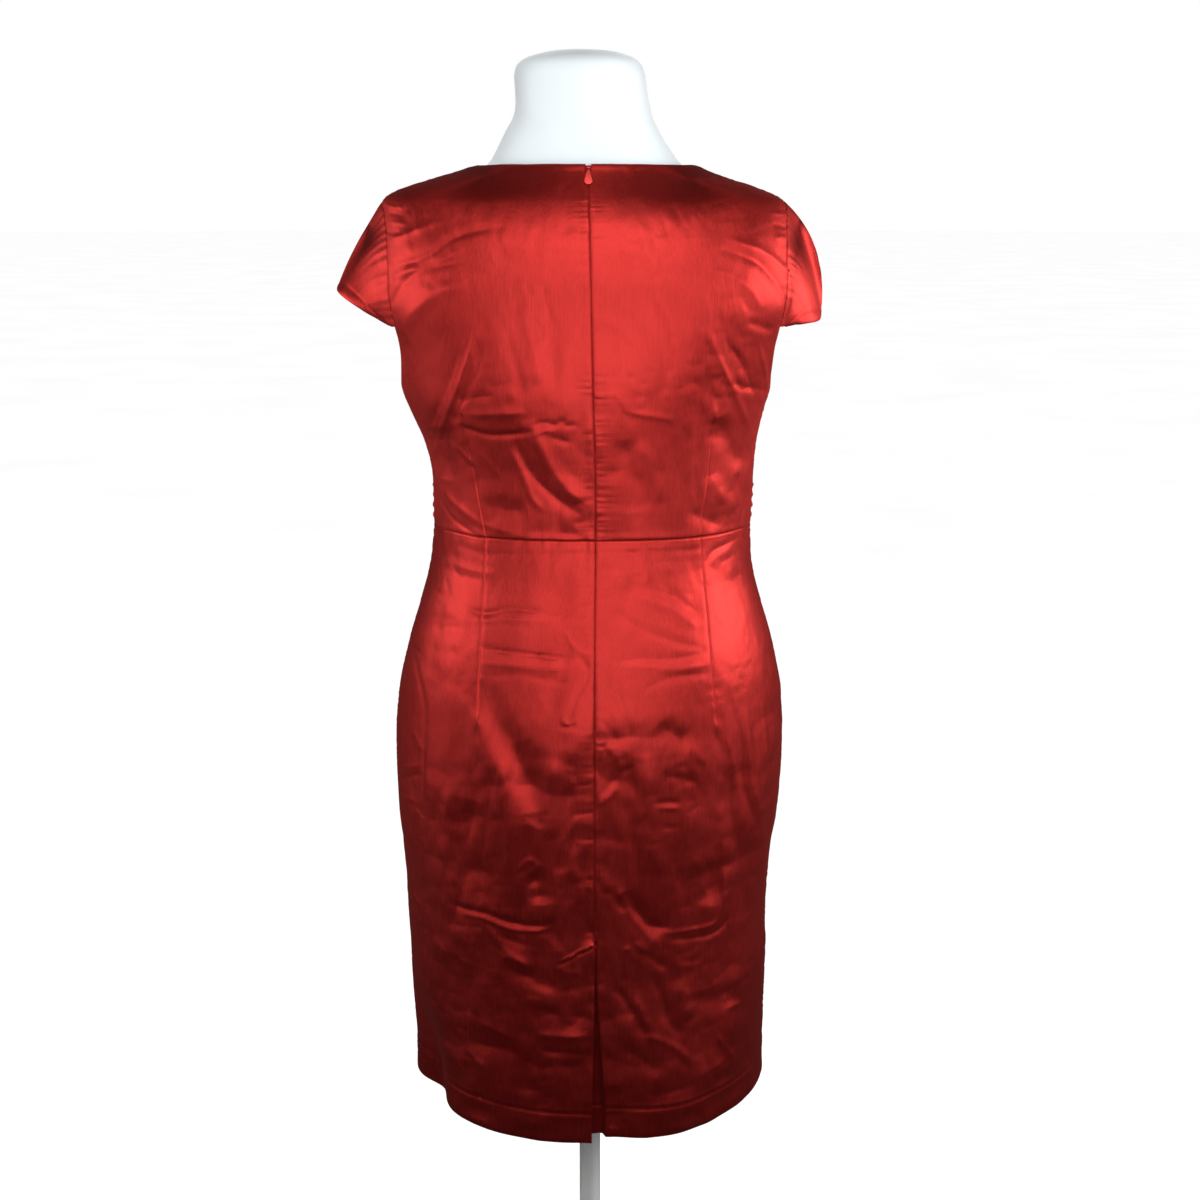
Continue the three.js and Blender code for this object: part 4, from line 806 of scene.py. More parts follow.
def tape():
    m, nt, b = new_material("zip_tape_weave_painted_shade")
    tc = nt.nodes.new("ShaderNodeTexCoord").outputs["Object"]
    w = nt.nodes.new("ShaderNodeTexWave")
    w.bands_direction = "Z"
    w.inputs["Scale"].default_value = 420
    w.inputs["Distortion"].default_value = 0.8
    nt.links.new(tc, w.inputs["Vector"])
    v = noise(nt, tc, 700, (1, 1, 1), 3)
    mixed = math_node(nt, "ADD", math_node(nt, "MULTIPLY", w.outputs["Fac"], 0.4), math_node(nt, "MULTIPLY", v, 0.6))
    # the real tape is coloured a near-black red, far darker than the satin: painted shade for the sunk centre-back seam
    # line; the weave is the tape's own texture
    nt.links.new(ramp(nt, mixed, [(0.2, (0.040, 0.0025, 0.0022, 1)), (0.8, (0.095, 0.006, 0.005, 1))]), b.inputs["Base Color"])
    b.inputs["Roughness"].default_value = 0.75
    bump = nt.nodes.new("ShaderNodeBump")
    bump.inputs["Strength"].default_value = 0.5
    bump.inputs["Distance"].default_value = 0.0002
    nt.links.new(w.outputs["Fac"], bump.inputs["Height"])
    nt.links.new(bump.outputs[0], b.inputs["Normal"])
    return m


def zip_paint():
    m, nt, b = new_material("zip_red_paint")
    tc = nt.nodes.new("ShaderNodeTexCoord").outputs["Object"]
    v = noise(nt, tc, 900, (1, 1, 1), 3)
    geo = nt.nodes.new("ShaderNodeNewGeometry")
    # convex rims and the pull's tip are coloured a paler pinkish red: a painted highlight on the edges
    edge_highlight = math_node(nt, "ADD", math_node(nt, "MULTIPLY", geo.outputs["Pointiness"], 1.0), math_node(nt, "MULTIPLY", v, 0.12))
    nt.links.new(ramp(nt, edge_highlight, [(0.50, (0.42, 0.022, 0.018, 1)), (0.62, (0.50, 0.030, 0.024, 1)), (0.74, (0.70, 0.14, 0.11, 1))]), b.inputs["Base Color"])
    b.inputs["Metallic"].default_value = 0.75
    nt.links.new(map_range(nt, v, 0.3, 0.7, 0.26, 0.40), b.inputs["Roughness"])
    b.inputs["Coat Weight"].default_value = 0.06
    b.inputs["Coat Roughness"].default_value = 0.15
    bump = nt.nodes.new("ShaderNodeBump")
    bump.inputs["Strength"].default_value = 0.12
    bump.inputs["Distance"].default_value = 0.0001
    nt.links.new(v, bump.inputs["Height"])
    nt.links.new(bump.outputs[0], b.inputs["Normal"])
    return m


def jersey():
    m, nt, b = new_material("form_white_jersey")
    tc = nt.nodes.new("ShaderNodeTexCoord").outputs["Object"]
    knit = noise(nt, tc, 1.0, (1500, 1500, 900), 3, 0.6)
    broad = noise(nt, tc, 14, (1, 1, 1), 3, 0.5)
    tone = math_node(nt, "ADD", math_node(nt, "MULTIPLY", knit, 0.4), math_node(nt, "MULTIPLY", broad, 0.6))
    nt.links.new(ramp(nt, tone, [(0.3, (0.76, 0.83, 0.86, 1)), (0.7, (0.82, 0.88, 0.90, 1))]), b.inputs["Base Color"])
    nt.links.new(map_range(nt, knit, 0.3, 0.7, 0.52, 0.70), b.inputs["Roughness"])
    b.inputs["Sheen Weight"].default_value = 0.25
    b.inputs["Sheen Roughness"].default_value = 0.5
    bump = nt.nodes.new("ShaderNodeBump")
    bump.inputs["Strength"].default_value = 0.18
    bump.inputs["Distance"].default_value = 0.0003
    nt.links.new(knit, bump.inputs["Height"])
    nt.links.new(bump.outputs[0], b.inputs["Normal"])
    return m


def stand_paint():
    m, nt, b = new_material("stand_white_paint")
    tc = nt.nodes.new("ShaderNodeTexCoord").outputs["Object"]
    peel = noise(nt, tc, 480, (1, 1, 1), 4, 0.5)
    broad = noise(nt, tc, 7, (1, 1, 1), 3, 0.5)
    nt.links.new(ramp(nt, broad, [(0.3, (0.74, 0.74, 0.73, 1)), (0.7, (0.82, 0.82, 0.81, 1))]), b.inputs["Base Color"])
    nt.links.new(map_range(nt, peel, 0.3, 0.7, 0.28, 0.42), b.inputs["Roughness"])
    b.inputs["Coat Weight"].default_value = 0.2
    b.inputs["Coat Roughness"].default_value = 0.2
    bump = nt.nodes.new("ShaderNodeBump")
    bump.inputs["Strength"].default_value = 0.1
    bump.inputs["Distance"].default_value = 0.0002
    nt.links.new(peel, bump.inputs["Height"])
    nt.links.new(bump.outputs[0], b.inputs["Normal"])
    return m


SATIN, TAPE_PAINTED_SHADE, PAINT, JERSEY, STAND = satin(), tape(), zip_paint(), jersey(), stand_paint()


def declare(node):
    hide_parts(node)


# ------------------------------------------------------------------- the form
def build_form():
    z = np.concatenate([np.arange(800, 806, 1.0), np.arange(806, 1361, 4.5), np.arange(1361, 1500, 2.2), [1500, 1502, 1503.2]])
    cols = [hermite(FORM_RINGS[:, 0], FORM_RINGS[:, c], z) for c in range(1, 7)]
    seg = 128
    t = 2 * np.pi * np.arange(seg) / seg
    s, c = np.sin(t)[None, :], np.cos(t)[None, :]
    cx, y0, a, b, f, n = [v[:, None] for v in cols]
    cover = 0.6                                              # the cover drawn in a little from the CAD's face
    d = np.where(c > 0, b, f) - cover
    x = cx + (a - cover) * np.sign(s) * np.abs(s) ** (2 / n)
    y = y0 - d * np.sign(c) * np.abs(c) ** (2 / n)
    P = np.stack([x, y, np.broadcast_to(z[:, None], x.shape)], -1)
    # rounded crown of the neck
    rings = [P]
    top = P[-1]
    mid = np.array([FORM_RINGS[-1, 1], FORM_RINGS[-1, 2] + 0.0, 0])
    for k, zz in ((0.86, 1504.6), (0.68, 1505.7), (0.48, 1506.4), (0.26, 1506.8)):
        ring = top.copy()
        ring[:, :2] = mid[:2] + (top[:, :2] - mid[:2]) * k
        ring[:, 2] = zz
        rings.append(ring[None])
    P = np.concatenate(rings)
    R = P.shape[0]
    verts = P.reshape(-1, 3)
    verts = np.vstack([verts, [[mid[0], mid[1], 1506.95]], [[0, 0, 800]]])
    faces = []
    for i in range(R - 1):
        for j in range(seg):
            k = (j + 1) % seg
            faces.append((i * seg + j, i * seg + k, (i + 1) * seg + k, (i + 1) * seg + j))
    for j in range(seg):
        k = (j + 1) % seg
        faces.append(((R - 1) * seg + j, (R - 1) * seg + k, R * seg))
        faces.append((k, j, R * seg + 1))
    return mesh_object("form_torso_and_neck", verts, faces, JERSEY, sharp=60)


FORM = build_form()
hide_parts("form_body")


# ------------------------------------------------------------------ the bodice
def dart_s(where, side, z, upper):
    """Arc length to the dart line, carried on above or below it."""
    rows = [d for d in DARTS if d[0] == where and np.sign(d[1]) == side and (d[4] > WAIST_Z) == upper]
    _, xa, za, xb, zb = rows[0]
    t = np.clip((z - za) / (zb - za), 0, 1)
    return s_at_x(where, xa + (xb - xa) * t, z)


def rows_between(a, b, step, edge_a=False, edge_b=False):
    parts = []
    lo, hi = a, b
    e = EDGE[1:]
    up = np.sign(b - a)
    if edge_a:
        parts.append(a + up * np.concatenate([[0], e]))
        lo = a + up * e[-1]
    else:
        parts.append(np.array([a]))
    tail = np.array([b])
    if edge_b:
        tail = b - up * np.concatenate([e[::-1], [0]])
        hi = b - up * e[-1]
    n = max(1, int(round(abs(hi - lo) / step)))
    mid = np.linspace(lo, hi, n + 1)[1:-1] if (edge_a or edge_b or True) else []
    parts.append(mid)
    parts.append(tail)
    return np.concatenate(parts)


def bodice_rows(step, shoulder_step):
    low = rows_between(WAIST_Z, UNDERARM_Z, step, edge_a=True)
    n = int(180 / step)
    u = np.linspace(0, 1, n + 1)[1:]
    arm = UNDERARM_Z + 2 * ARM_HALF_H * (0.5 * (1 - np.cos(np.pi * u)) / 2 + 0.5 * u)
    top = rows_between(ARM_Z + ARM_HALF_H, NECK_Z, shoulder_step)[1:]
    return np.concatenate([low, arm, top])


def build_back_bodice(side):
    z = bodice_rows(1.7, 1.0)
    notch = 2.6 * smooth((z - 1386) / 14)
    cb = centre_back(z) - mid_x(z)
    a = cb + side * notch
    b = side * arm_edge("back", z)
    d = dart_s("back", side, z, True)
    # above the dart the column line drifts to a fixed share of the panel
    share = 0.47
    k = smooth((z - 1176) / 120)
    d = d * (1 - k) + (a + (b - a) * share) * k
    S = np.concatenate([spread(a, d, 54), spread(d, b, 62)[:, 1:]], axis=1)
    Z = np.repeat(z[:, None], S.shape[1], 1)
    halves = half("back", Z)
    X = on_frac("back", S / halves, Z)[..., 0]
    h = body_relief("back", X, Z, S, halves)
    # centre back seam: sunk edge and small puckers from the zip stitching
    dc = np.abs(S - a[:, None])
    h += -0.9 * np.exp(-dc / 0.7) * smooth((1398 - Z) / 12)
    h += 0.25 * np.exp(-((dc - 4.2) / 2.8) ** 2)
    h += seam_puckers(dc, Z + (0 if side < 0 else 2.5), 8.4, 0.36, 7.5, 41 + side) * smooth((dc - 0.2) / 2) * smooth((1386 - Z) / 30)
    # outer edge: side seam, armhole, shoulder seam
    do = np.abs(b[:, None] - S)
    near_arm = smooth((Z - UNDERARM_Z + 4) / 10) * smooth((ARM_Z + ARM_HALF_H + 2 - Z) / 6)
    sleeve = smooth((Z - 1248) / 10) * near_arm
    h += side_seam_relief(do, Z, 51) * (1 - near_arm)
    h += sleeve * (-0.9 * np.exp(-do / 0.9) + seam_puckers(do, Z, 9.5, 0.5, 7.0, 54))
    # neckline: faced edge rolled in, with a soft ridge where the facing ends
    dn = NECK_Z - Z
    h += -0.7 * np.exp(-dn / 0.8) + 0.35 * np.exp(-((dn - 3) / 2.5) ** 2)
    P, N = surface("back", S, Z, h)
    last = P[:, -1, 1] > -0.05
    P[last, -1, 1] = -0.05
    G = smooth_normals(P)
    if (G * N).sum() < 0:
        G = -G
    name = "bodice_back_left" if side < 0 else "bodice_back_right"
    ob = shell(name, P, N, SATIN)
    declare("back_bodice_left" if side < 0 else "back_bodice_right")
    return P


def build_front_bodice():
    z = bodice_rows(2.6, 1.5)
    cols = 150
    b = arm_edge("front", z)
    Srow = np.concatenate([spread(-b, b * 0, cols // 2, True, False), spread(b * 0, b, cols // 2, False, True)[:, 1:]], axis=1)
    U = Srow / b[:, None]
    Zr = np.repeat(z[:, None], U.shape[1], 1)
    top = NECK_Z - (NECK_Z - FRONT_NECK_Z) * (1 - smooth(np.abs(U) ** 1.15))
    k = np.where(Zr <= UNDERARM_Z, 1, (top - UNDERARM_Z) / (NECK_Z - UNDERARM_Z))
    Z = np.where(Zr <= UNDERARM_Z, Zr, UNDERARM_Z + (Zr - UNDERARM_Z) * k)
    scale = half("front", Z) / half("front", Zr)
    along = np.where(np.abs(U) > 0.9999, 1, 1 + (scale - 1) * (1 - np.abs(U) ** 3))
    S = Srow * along
    halves = half("front", Z)
    X = on_frac("front", S / halves, Z)[..., 0]
    h = body_relief("front", X, Z, S, halves) + front_tucks(S, Z, halves)
    do = b[:, None] - np.abs(Srow)
    near_arm = smooth((Zr - UNDERARM_Z + 4) / 10) * smooth((ARM_Z + ARM_HALF_H + 2 - Zr) / 6)
    sleeve = smooth((Zr - 1248) / 10) * near_arm
    h += side_seam_relief(do, Zr, 51) * (1 - near_arm)
    h += sleeve * (-0.9 * np.exp(-do / 0.9) + seam_puckers(do, Zr, 9.5, 0.5, 7.0, 57))
    dn = top - Z
    h += np.where(Zr > UNDERARM_Z, -0.7 * np.exp(-dn / 0.8) + 0.35 * np.exp(-((dn - 3) / 2.5) ** 2), 0)
    P, N = surface("front", S, Z, h)
    for j in (0, -1):
        low = P[:, j, 1] < 0.05
        P[low, j, 1] = 0.05
    ob = shell("bodice_front", P, N, SATIN)
    declare("front_bodice")
    return P


# ------------------------------------------------------------------- the skirt
def hem_drop(where, z, S, halves):
    mid = HEM_BACK_Z if where == "back" else HEM_FRONT_Z
    hem = HEM_SIDE_Z + (mid - HEM_SIDE_Z) * smooth(1 - np.abs(S) / halves * 0.9)
    drop = smooth((WAIST_Z - z) / (WAIST_Z - HEM_SIDE_Z))
    return z - (HEM_SIDE_Z - hem) * drop * drop


def hem_relief(where, Z, hem_z, X, seed):
    """The turned hem: blind stitching with dimples at its top, a rolled edge at the bottom."""
    up = Z - hem_z
    line = up - HEM_TURN - 0.8 * np.sin(X / 37.0 + seed)
    dimple = 0.5 + 0.5 * np.sin(X / 1.9 + 2 * np.sin(X / 13.0 + seed))
    h = -0.42 * np.exp(-(line / 1.1) ** 2) * (0.6 + 0.4 * dimple) + 0.5 * smooth(-line / 3.0) * smooth(up / 3.0)
    h += 0.30 * np.exp(-((line - 3.0) / 2.4) ** 2)
    h += seam_puckers(np.abs(line), X, 17.0, 0.32, 9.0, seed)
    h += -0.5 * np.exp(-up / 0.9)
    return h


def build_back_skirt(side):
    z = rows_between(WAIST_Z, HEM_SIDE_Z, 1.75, edge_a=True, edge_b=True)
    cb = centre_back(z) - mid_x(z)
    hv = half("back", z)
    a = cb.copy()
    if side > 0:
        a = cb - VENT_LAP * smooth((VENT_TOP_Z + 1 - z) / 2.0)
    else:
        a = cb + 1.2 * smooth((VENT_TOP_Z + 6 - z) / 8.0)
    b = side * hv
    d = dart_s("back", side, z, False)
    k = smooth((874 - z) / 160)
    d = d * (1 - k) + (cb + (b - cb) * 0.52) * k
    # the right back keeps a column line where its vent folds under
    wedge = 11.0 * smooth((VENT_TOP_Z - 22 - z) / 175)
    if side > 0:
        f = cb + wedge * smooth((VENT_TOP_Z + 1 - z) / 2.0) + 5.0
        S = np.concatenate([spread(a, f, 20, True, True), spread(f, d, 48, False, True)[:, 1:], spread(d, b, 60)[:, 1:]], axis=1)
    else:
        S = np.concatenate([spread(a, d, 60), spread(d, b, 60)[:, 1:]], axis=1)
    Zr = np.repeat(z[:, None], S.shape[1], 1)
    halves = half("back", Zr)
    Z = hem_drop("back", Zr, S, halves)
    hem_z = hem_drop("back", np.full_like(Zr, HEM_SIDE_Z), S, halves)
    if side > 0:                                             # right of the vent the hem hangs a little higher
        lift = 6.0 * np.exp(-((S - 18) / 34) ** 2) * smooth((HEM_SIDE_Z + 120 - Zr) / 120)
        Z = Z + lift
        hem_z = hem_z + 6.0 * np.exp(-((S - 18) / 34) ** 2)
    halves = half("back", Z)
    X = on_frac("back", S / halves, Z)[..., 0]
    h = body_relief("back", X, Z, S, halves)
    h += hem_relief("back", Z, hem_z, X, 61 + side)
    dc = np.abs(S - cb[:, None])
    above = smooth((Z - VENT_TOP_Z + 1) / 3)
    h += above * (-0.9 * np.exp(-dc / 0.7) + 0.25 * np.exp(-((dc - 4.2) / 2.8) ** 2))
    zipped = smooth((Z - ZIP_END_Z + 6) / 14)
    h += above * seam_puckers(dc, Z + (0 if side < 0 else 2.5), 8.4, 0.36, 7.5, 43 + side) * smooth((dc - 0.2) / 2) * zipped
    h += above * seam_puckers(dc, Z + (0 if side < 0 else 4.5), 19.0, 0.26, 7.0, 45 + side) * smooth((dc - 0.2) / 2) * (1 - zipped)
    below = 1 - above
    if side > 0:
        sink = 3.0 + 7.0 * smooth((VENT_TOP_Z - Z) / 170)
        fold = (cb + wedge)[:, None]
        into = smooth((S - fold) / 4.5)                     # 0 deep in the recess, 1 on the face
        h += -below * sink * (1 - into)
        h += below * 0.5 * np.exp(-((S - fold - 6.5) / 3.0) ** 2)
    else:
        h += below * (0.7 + 0.8 * smooth((VENT_TOP_Z - Z) / 120)) * np.exp(-dc / 9.0)
        # the stitched diagonal that holds the vent's top
        line = (Z - VENT_TOP_Z + 1.5) - (X - 4.8) * 0.56
        reach = smooth((4.8 - X) / 1.5) * smooth((X + 30) / 6)
        h += reach * (1.1 * np.exp(-((line - 1.3) / 1.4) ** 2) - 0.9 * np.exp(-((line + 1.6) / 1.3) ** 2))
    do = np.abs(b[:, None] - S)
    h += side_seam_relief(do, Z, 71)
    P, N = surface("back", S, Z, h)
    last = P[:, -1, 1] > -0.05
    P[last, -1, 1] = -0.05
    thick = CLOTH + 0.9 * smooth((hem_z + HEM_TURN - Z) / 2.0)
    ob = shell("skirt_back_left" if side < 0 else "skirt_back_right", P, N, SATIN, thick)
    declare("back_skirt_left" if side < 0 else "back_skirt_right")
    return P


def build_front_skirt():
    z = rows_between(WAIST_Z, HEM_SIDE_Z, 3.0, edge_a=True, edge_b=True)
    b = half("front", z)
    dl = dart_s("front", -1, z, False)
    dr = dart_s("front", 1, z, False)
    k = smooth((940 - z) / 160)
    dl = dl * (1 - k) - b * 0.5 * k
    dr = dr * (1 - k) + b * 0.5 * k
    S = np.concatenate([spread(-b, dl, 40), spread(dl, dr, 62)[:, 1:], spread(dr, b, 40)[:, 1:]], axis=1)
    Zr = np.repeat(z[:, None], S.shape[1], 1)
    halves = half("front", Zr)
    Z = hem_drop("front", Zr, S, halves)
    hem_z = hem_drop("front", np.full_like(Zr, HEM_SIDE_Z), S, halves)
    halves = half("front", Z)
    X = on_frac("front", S / halves, Z)[..., 0]
    h = body_relief("front", X, Z, S, halves)
    h += hem_relief("front", Z, hem_z, X, 66)
    h += side_seam_relief(halves - np.abs(S), Z, 71)
    P, N = surface("front", S, Z, h)
    for j in (0, -1):
        low = P[:, j, 1] < 0.05
        P[low, j, 1] = 0.05
    thick = CLOTH + 0.9 * smooth((hem_z + HEM_TURN - Z) / 2.0)
    ob = shell("skirt_front", P, N, SATIN, thick)
    declare("front_skirt")
    return P


# ----------------------------------------------------------------- the sleeves
def build_sleeve(side, out_mm, up_mm, puff):
    n = 70
    deg = np.linspace(SLEEVE_FROM, math.pi, n)
    z = ARM_Z - ARM_HALF_H * np.cos(deg)
    reach = np.sin(deg)
    sb = side * s_at_depth("back", reach * ARM_BACK, z)
    sf = side * s_at_depth("front", reach * ARM_FRONT, z)
    pb, nb = surface("back", sb, z, np.zeros(n))
    pf, nf = surface("front", sf, z, np.zeros(n))
    E = np.concatenate([pb, pf[::-1][1:]])
    EN = np.concatenate([nb, nf[::-1][1:]])
    K = len(E)
    tip = n - 1
    E[tip, 1] = 0
    EN[tip, 1] = 0
    # softened normals over the shoulder tip
    for _ in range(8):
        EN[1:-1] = (EN[:-2] + 2 * EN[1:-1] + EN[2:]) / 4
    EN /= np.linalg.norm(EN, axis=1, keepdims=True)
    tan = np.gradient(E, axis=0)
    tan /= np.linalg.norm(tan, axis=1, keepdims=True)
    out = np.cross(tan, EN)
    out /= np.linalg.norm(out, axis=1, keepdims=True)
    out *= np.where(out[:, :1] * side < 0, -1, 1)
    for _ in range(10):
        out[1:-1] = (out[:-2] + 2 * out[1:-1] + out[2:]) / 4
    out /= np.linalg.norm(out, axis=1, keepdims=True)
    start = E + out * 0.1
    cum = np.concatenate([[0], np.cumsum(np.linalg.norm(np.diff(E, axis=0), axis=1))])
    q = np.concatenate([np.linspace(-1, 0, n), np.linspace(0, 1, n)[1:]])
    c = np.clip(np.cos(q * math.pi / 2), 0, 1) ** 0.5
    hem = start[0][None] + (start[-1] - start[0])[None] * ((q + 1) / 2)[:, None]
    hem[:, 0] += side * out_mm * c
    hem[:, 2] += up_mm * c
    hem += out * (15 * (1 - c))[:, None]
    rch = np.linalg.norm(hem - start, axis=1)
    mid = start + out * (rch * 0.5)[:, None]
    mid[:, 0] += side * puff * c
    r = rows_between(0.0, 1.0, 0.026)[:, None, None]
    r = np.sort(np.unique(np.concatenate([np.array([0, 0.008, 0.018, 0.034, 0.055]), r.ravel()[r.ravel() > 0.07], [0.985]])))[:, None, None]
    G = start[None] * (1 - r) ** 2 + mid[None] * 2 * r * (1 - r) + hem[None] * r ** 2
    N = smooth_normals(G)
    flip = np.sign((N * EN[None]).sum(-1, keepdims=True))
    N = N * np.where(flip == 0, 1, flip)
    mixk = smooth(r / 0.35)
    N = EN[None] * (1 - mixk) + N * mixk
    N /= np.linalg.norm(N, axis=-1, keepdims=True)
    rr = r[..., 0] * np.ones((1, K))
    L = cum[None, :] * np.ones_like(rr)
    dist = rr * np.maximum(rch[None, :], 1)
    ends = np.minimum(L, cum[-1] - L)
    h = -0.9 * np.exp(-dist / 0.9) + seam_puckers(dist, L, 9.5, 0.6, 12.0, 81 + side)
    # soft folds that fall from the cap's head
    h += 0.6 * np.sin(L / 11.0 + 1.3 * side + 0.8 * np.sin(L / 31.0)) * smooth(dist / 14) * (1 - smooth((rr - 0.5) / 0.6)) * smooth(ends / 30)
    h += 0.6 * value_noise(L / 26 + 3, rr * 2.6 + 7 + side, 83) * smooth(dist / 8)
    # narrow turned hem
    up = (1 - rr) * rch[None, :]
    h += -0.35 * np.exp(-((up - 9.0) / 0.9) ** 2) * smooth((rch[None, :] - 14) / 10) - 0.45 * np.exp(-up / 0.8) + 0.3 * smooth((8 - up) / 3) * smooth(up / 2)
    P = G + N * h[..., None]
    name = "cap_sleeve_left" if side < 0 else "cap_sleeve_right"
    ob = shell(name, P, N, SATIN, CLOTH)
    declare("sleeve_left" if side < 0 else "sleeve_right")
    return P


for sd in (-1, 1):
    build_back_bodice(sd)
build_front_bodice()
for sd in (-1, 1):
    build_back_skirt(sd)
build_front_skirt()
build_sleeve(-1, 61, 33, 12)
build_sleeve(1, 43, 5, 4)


# --------------------------------------------------------------------- the zip
def build_zip():
    z = np.arange(ZIP_END_Z, 1385.1, 3.0)
    cb = centre_back(z) - mid_x(z)
    off = np.array([-9.5, -7, -4.5, -2.2, -0.9, 0.9, 2.2, 4.5, 7, 9.5])
    S = cb[:, None] + off[None, :]
    Z = np.repeat(z[:, None], len(off), 1)
    p, n = surface("back", S, Z, np.zeros_like(S))
    # the tape runs behind the deepest of the creases that cross the seam
    hv = half("back", Z)
    dip = np.minimum(body_relief("back", on_frac("back", S / hv, Z)[..., 0], Z, S, hv).min(1), 0)
    dip = np.min([np.roll(dip, k) for k in range(-3, 4)], axis=0)
    dip = np.convolve(np.pad(dip, 3, "edge"), np.ones(7) / 7, "valid")
    P = p + n * (dip - 2.9)[:, None, None]
    ob = shell("zip_tape", P, n, TAPE_PAINTED_SHADE, 0.5)
    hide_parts("zip_chain")
    # coil teeth: one small rounded bar each side of the line, every 1.5 mm
    verts, faces = [], []
    ring = 6
    zt = np.arange(ZIP_END_Z + 3, 1384, 1.5)
    cbt = centre_back(zt) - mid_x(zt)
    c0, cn = surface("back", cbt[:, None], zt[:, None], np.zeros((len(zt), 1)))
    for i in range(len(zt)):
        sgn = 1 if i % 2 else -1
        o, nn = c0[i, 0] + cn[i, 0] * (np.interp(zt[i], z, dip) - 2.45), cn[i, 0]
        up = np.array([0, 0, 1.0]) - nn * nn[2]
        up /= np.linalg.norm(up)
        ac = np.cross(nn, up)
        base = len(verts)
        for u, rad in ((-0.4, 0.30), (0.1, 0.52), (1.6, 0.52), (2.6, 0.42), (2.9, 0.2)):
            for k in range(ring):
                t = 2 * math.pi * k / ring
                verts.append(o + ac * sgn * u + up * rad * math.cos(t) + nn * rad * 0.8 * math.sin(t))
        for a in range(4):
            for k in range(ring):
                kk = (k + 1) % ring
                faces.append((base + a * ring + k, base + a * ring + kk, base + (a + 1) * ring + kk, base + (a + 1) * ring + k))
        faces.append(tuple(base + k for k in range(ring))[::-1])
        faces.append(tuple(base + 4 * ring + k for k in range(ring)))
    # the teeth take the tape's near-black red, painted shade in the seam line
    teeth = mesh_object("zip_teeth", np.array(verts), faces, TAPE_PAINTED_SHADE)


build_zip()

SLIDER_Z = 1393.5
BAR_WORLD = np.array([0.185, -83.789, 1396.17])


def local_frame():
    z = np.array([[SLIDER_Z]])
    s = (centre_back(z) - mid_x(z))
    p, n = surface("back", s, z, np.zeros((1, 1)))
    n = n[0, 0].copy()
    n[0] = 0
    n /= np.linalg.norm(n)
    down = np.cross([1, 0, 0], n)
    down /= np.linalg.norm(down)
    if down[2] > 0:
        down = -down
    across = np.cross(down, n)
    return across / np.linalg.norm(across), down, n


def lathe_outline(outline, z0, z1, bevel, rings=4):
    """A plate from a closed outline, its rims rounded: points and faces."""
    outline = np.array(outline, float)
    n = len(outline)
    nxt, prv = np.roll(outline, -1, 0), np.roll(outline, 1, 0)
    tan = nxt - prv
    tan /= np.maximum(np.linalg.norm(tan, axis=1, keepdims=True), 1e-9)
    nor = np.stack([tan[:, 1], -tan[:, 0]], 1)
    if ((outline - outline.mean(0)) * nor).sum() < 0:
        nor = -nor
    rows = []
    for k in range(rings + 1):
        t = math.pi / 2 * k / rings
        rows.append((outline - nor * bevel * (1 - math.sin(t)), z0 + bevel * (1 - math.cos(t))))
    for k in range(rings + 1):
        t = math.pi / 2 * (1 - k / rings)
        rows.append((outline - nor * bevel * (1 - math.sin(t)), z1 - bevel * (1 - math.cos(t))))
    verts = np.array([[x, y, z] for ring, z in rows for x, y in ring])
    faces = []
    for i in range(len(rows) - 1):
        for j in range(n):
            k = (j + 1) % n
            faces.append((i * n + j, i * n + k, (i + 1) * n + k, (i + 1) * n + j))
    faces.append(tuple(range(n))[::-1])
    faces.append(tuple((len(rows) - 1) * n + j for j in range(n)))
    return verts, faces


def tube(path, radius, ring=10):
    path = np.array(path, float)
    t = np.gradient(path, axis=0)
    t /= np.linalg.norm(t, axis=1, keepdims=True)
    ref = np.array([1.0, 0, 0])
    verts, faces = [], []
    for p, d in zip(path, t):
        a = np.cross(d, ref)
        a /= np.linalg.norm(a)
        b = np.cross(d, a)
        for k in range(ring):
            q = 2 * math.pi * k / ring
            verts.append(p + radius * (a * math.cos(q) + b * math.sin(q)))
    m = len(path)
    for i in range(m - 1):
        for k in range(ring):
            kk = (k + 1) % ring
            faces.append((i * ring + k, i * ring + kk, (i + 1) * ring + kk, (i + 1) * ring + k))
    faces.append(tuple(range(ring))[::-1])
    faces.append(tuple((m - 1) * ring + k for k in range(ring)))
    return np.array(verts), faces


def join(parts):
    verts, faces, base = [], [], 0
    for v, f in parts:
        verts.append(np.asarray(v, float))
        faces += [tuple(i + base for i in q) for q in f]
        base += len(v)
    return np.concatenate(verts), faces


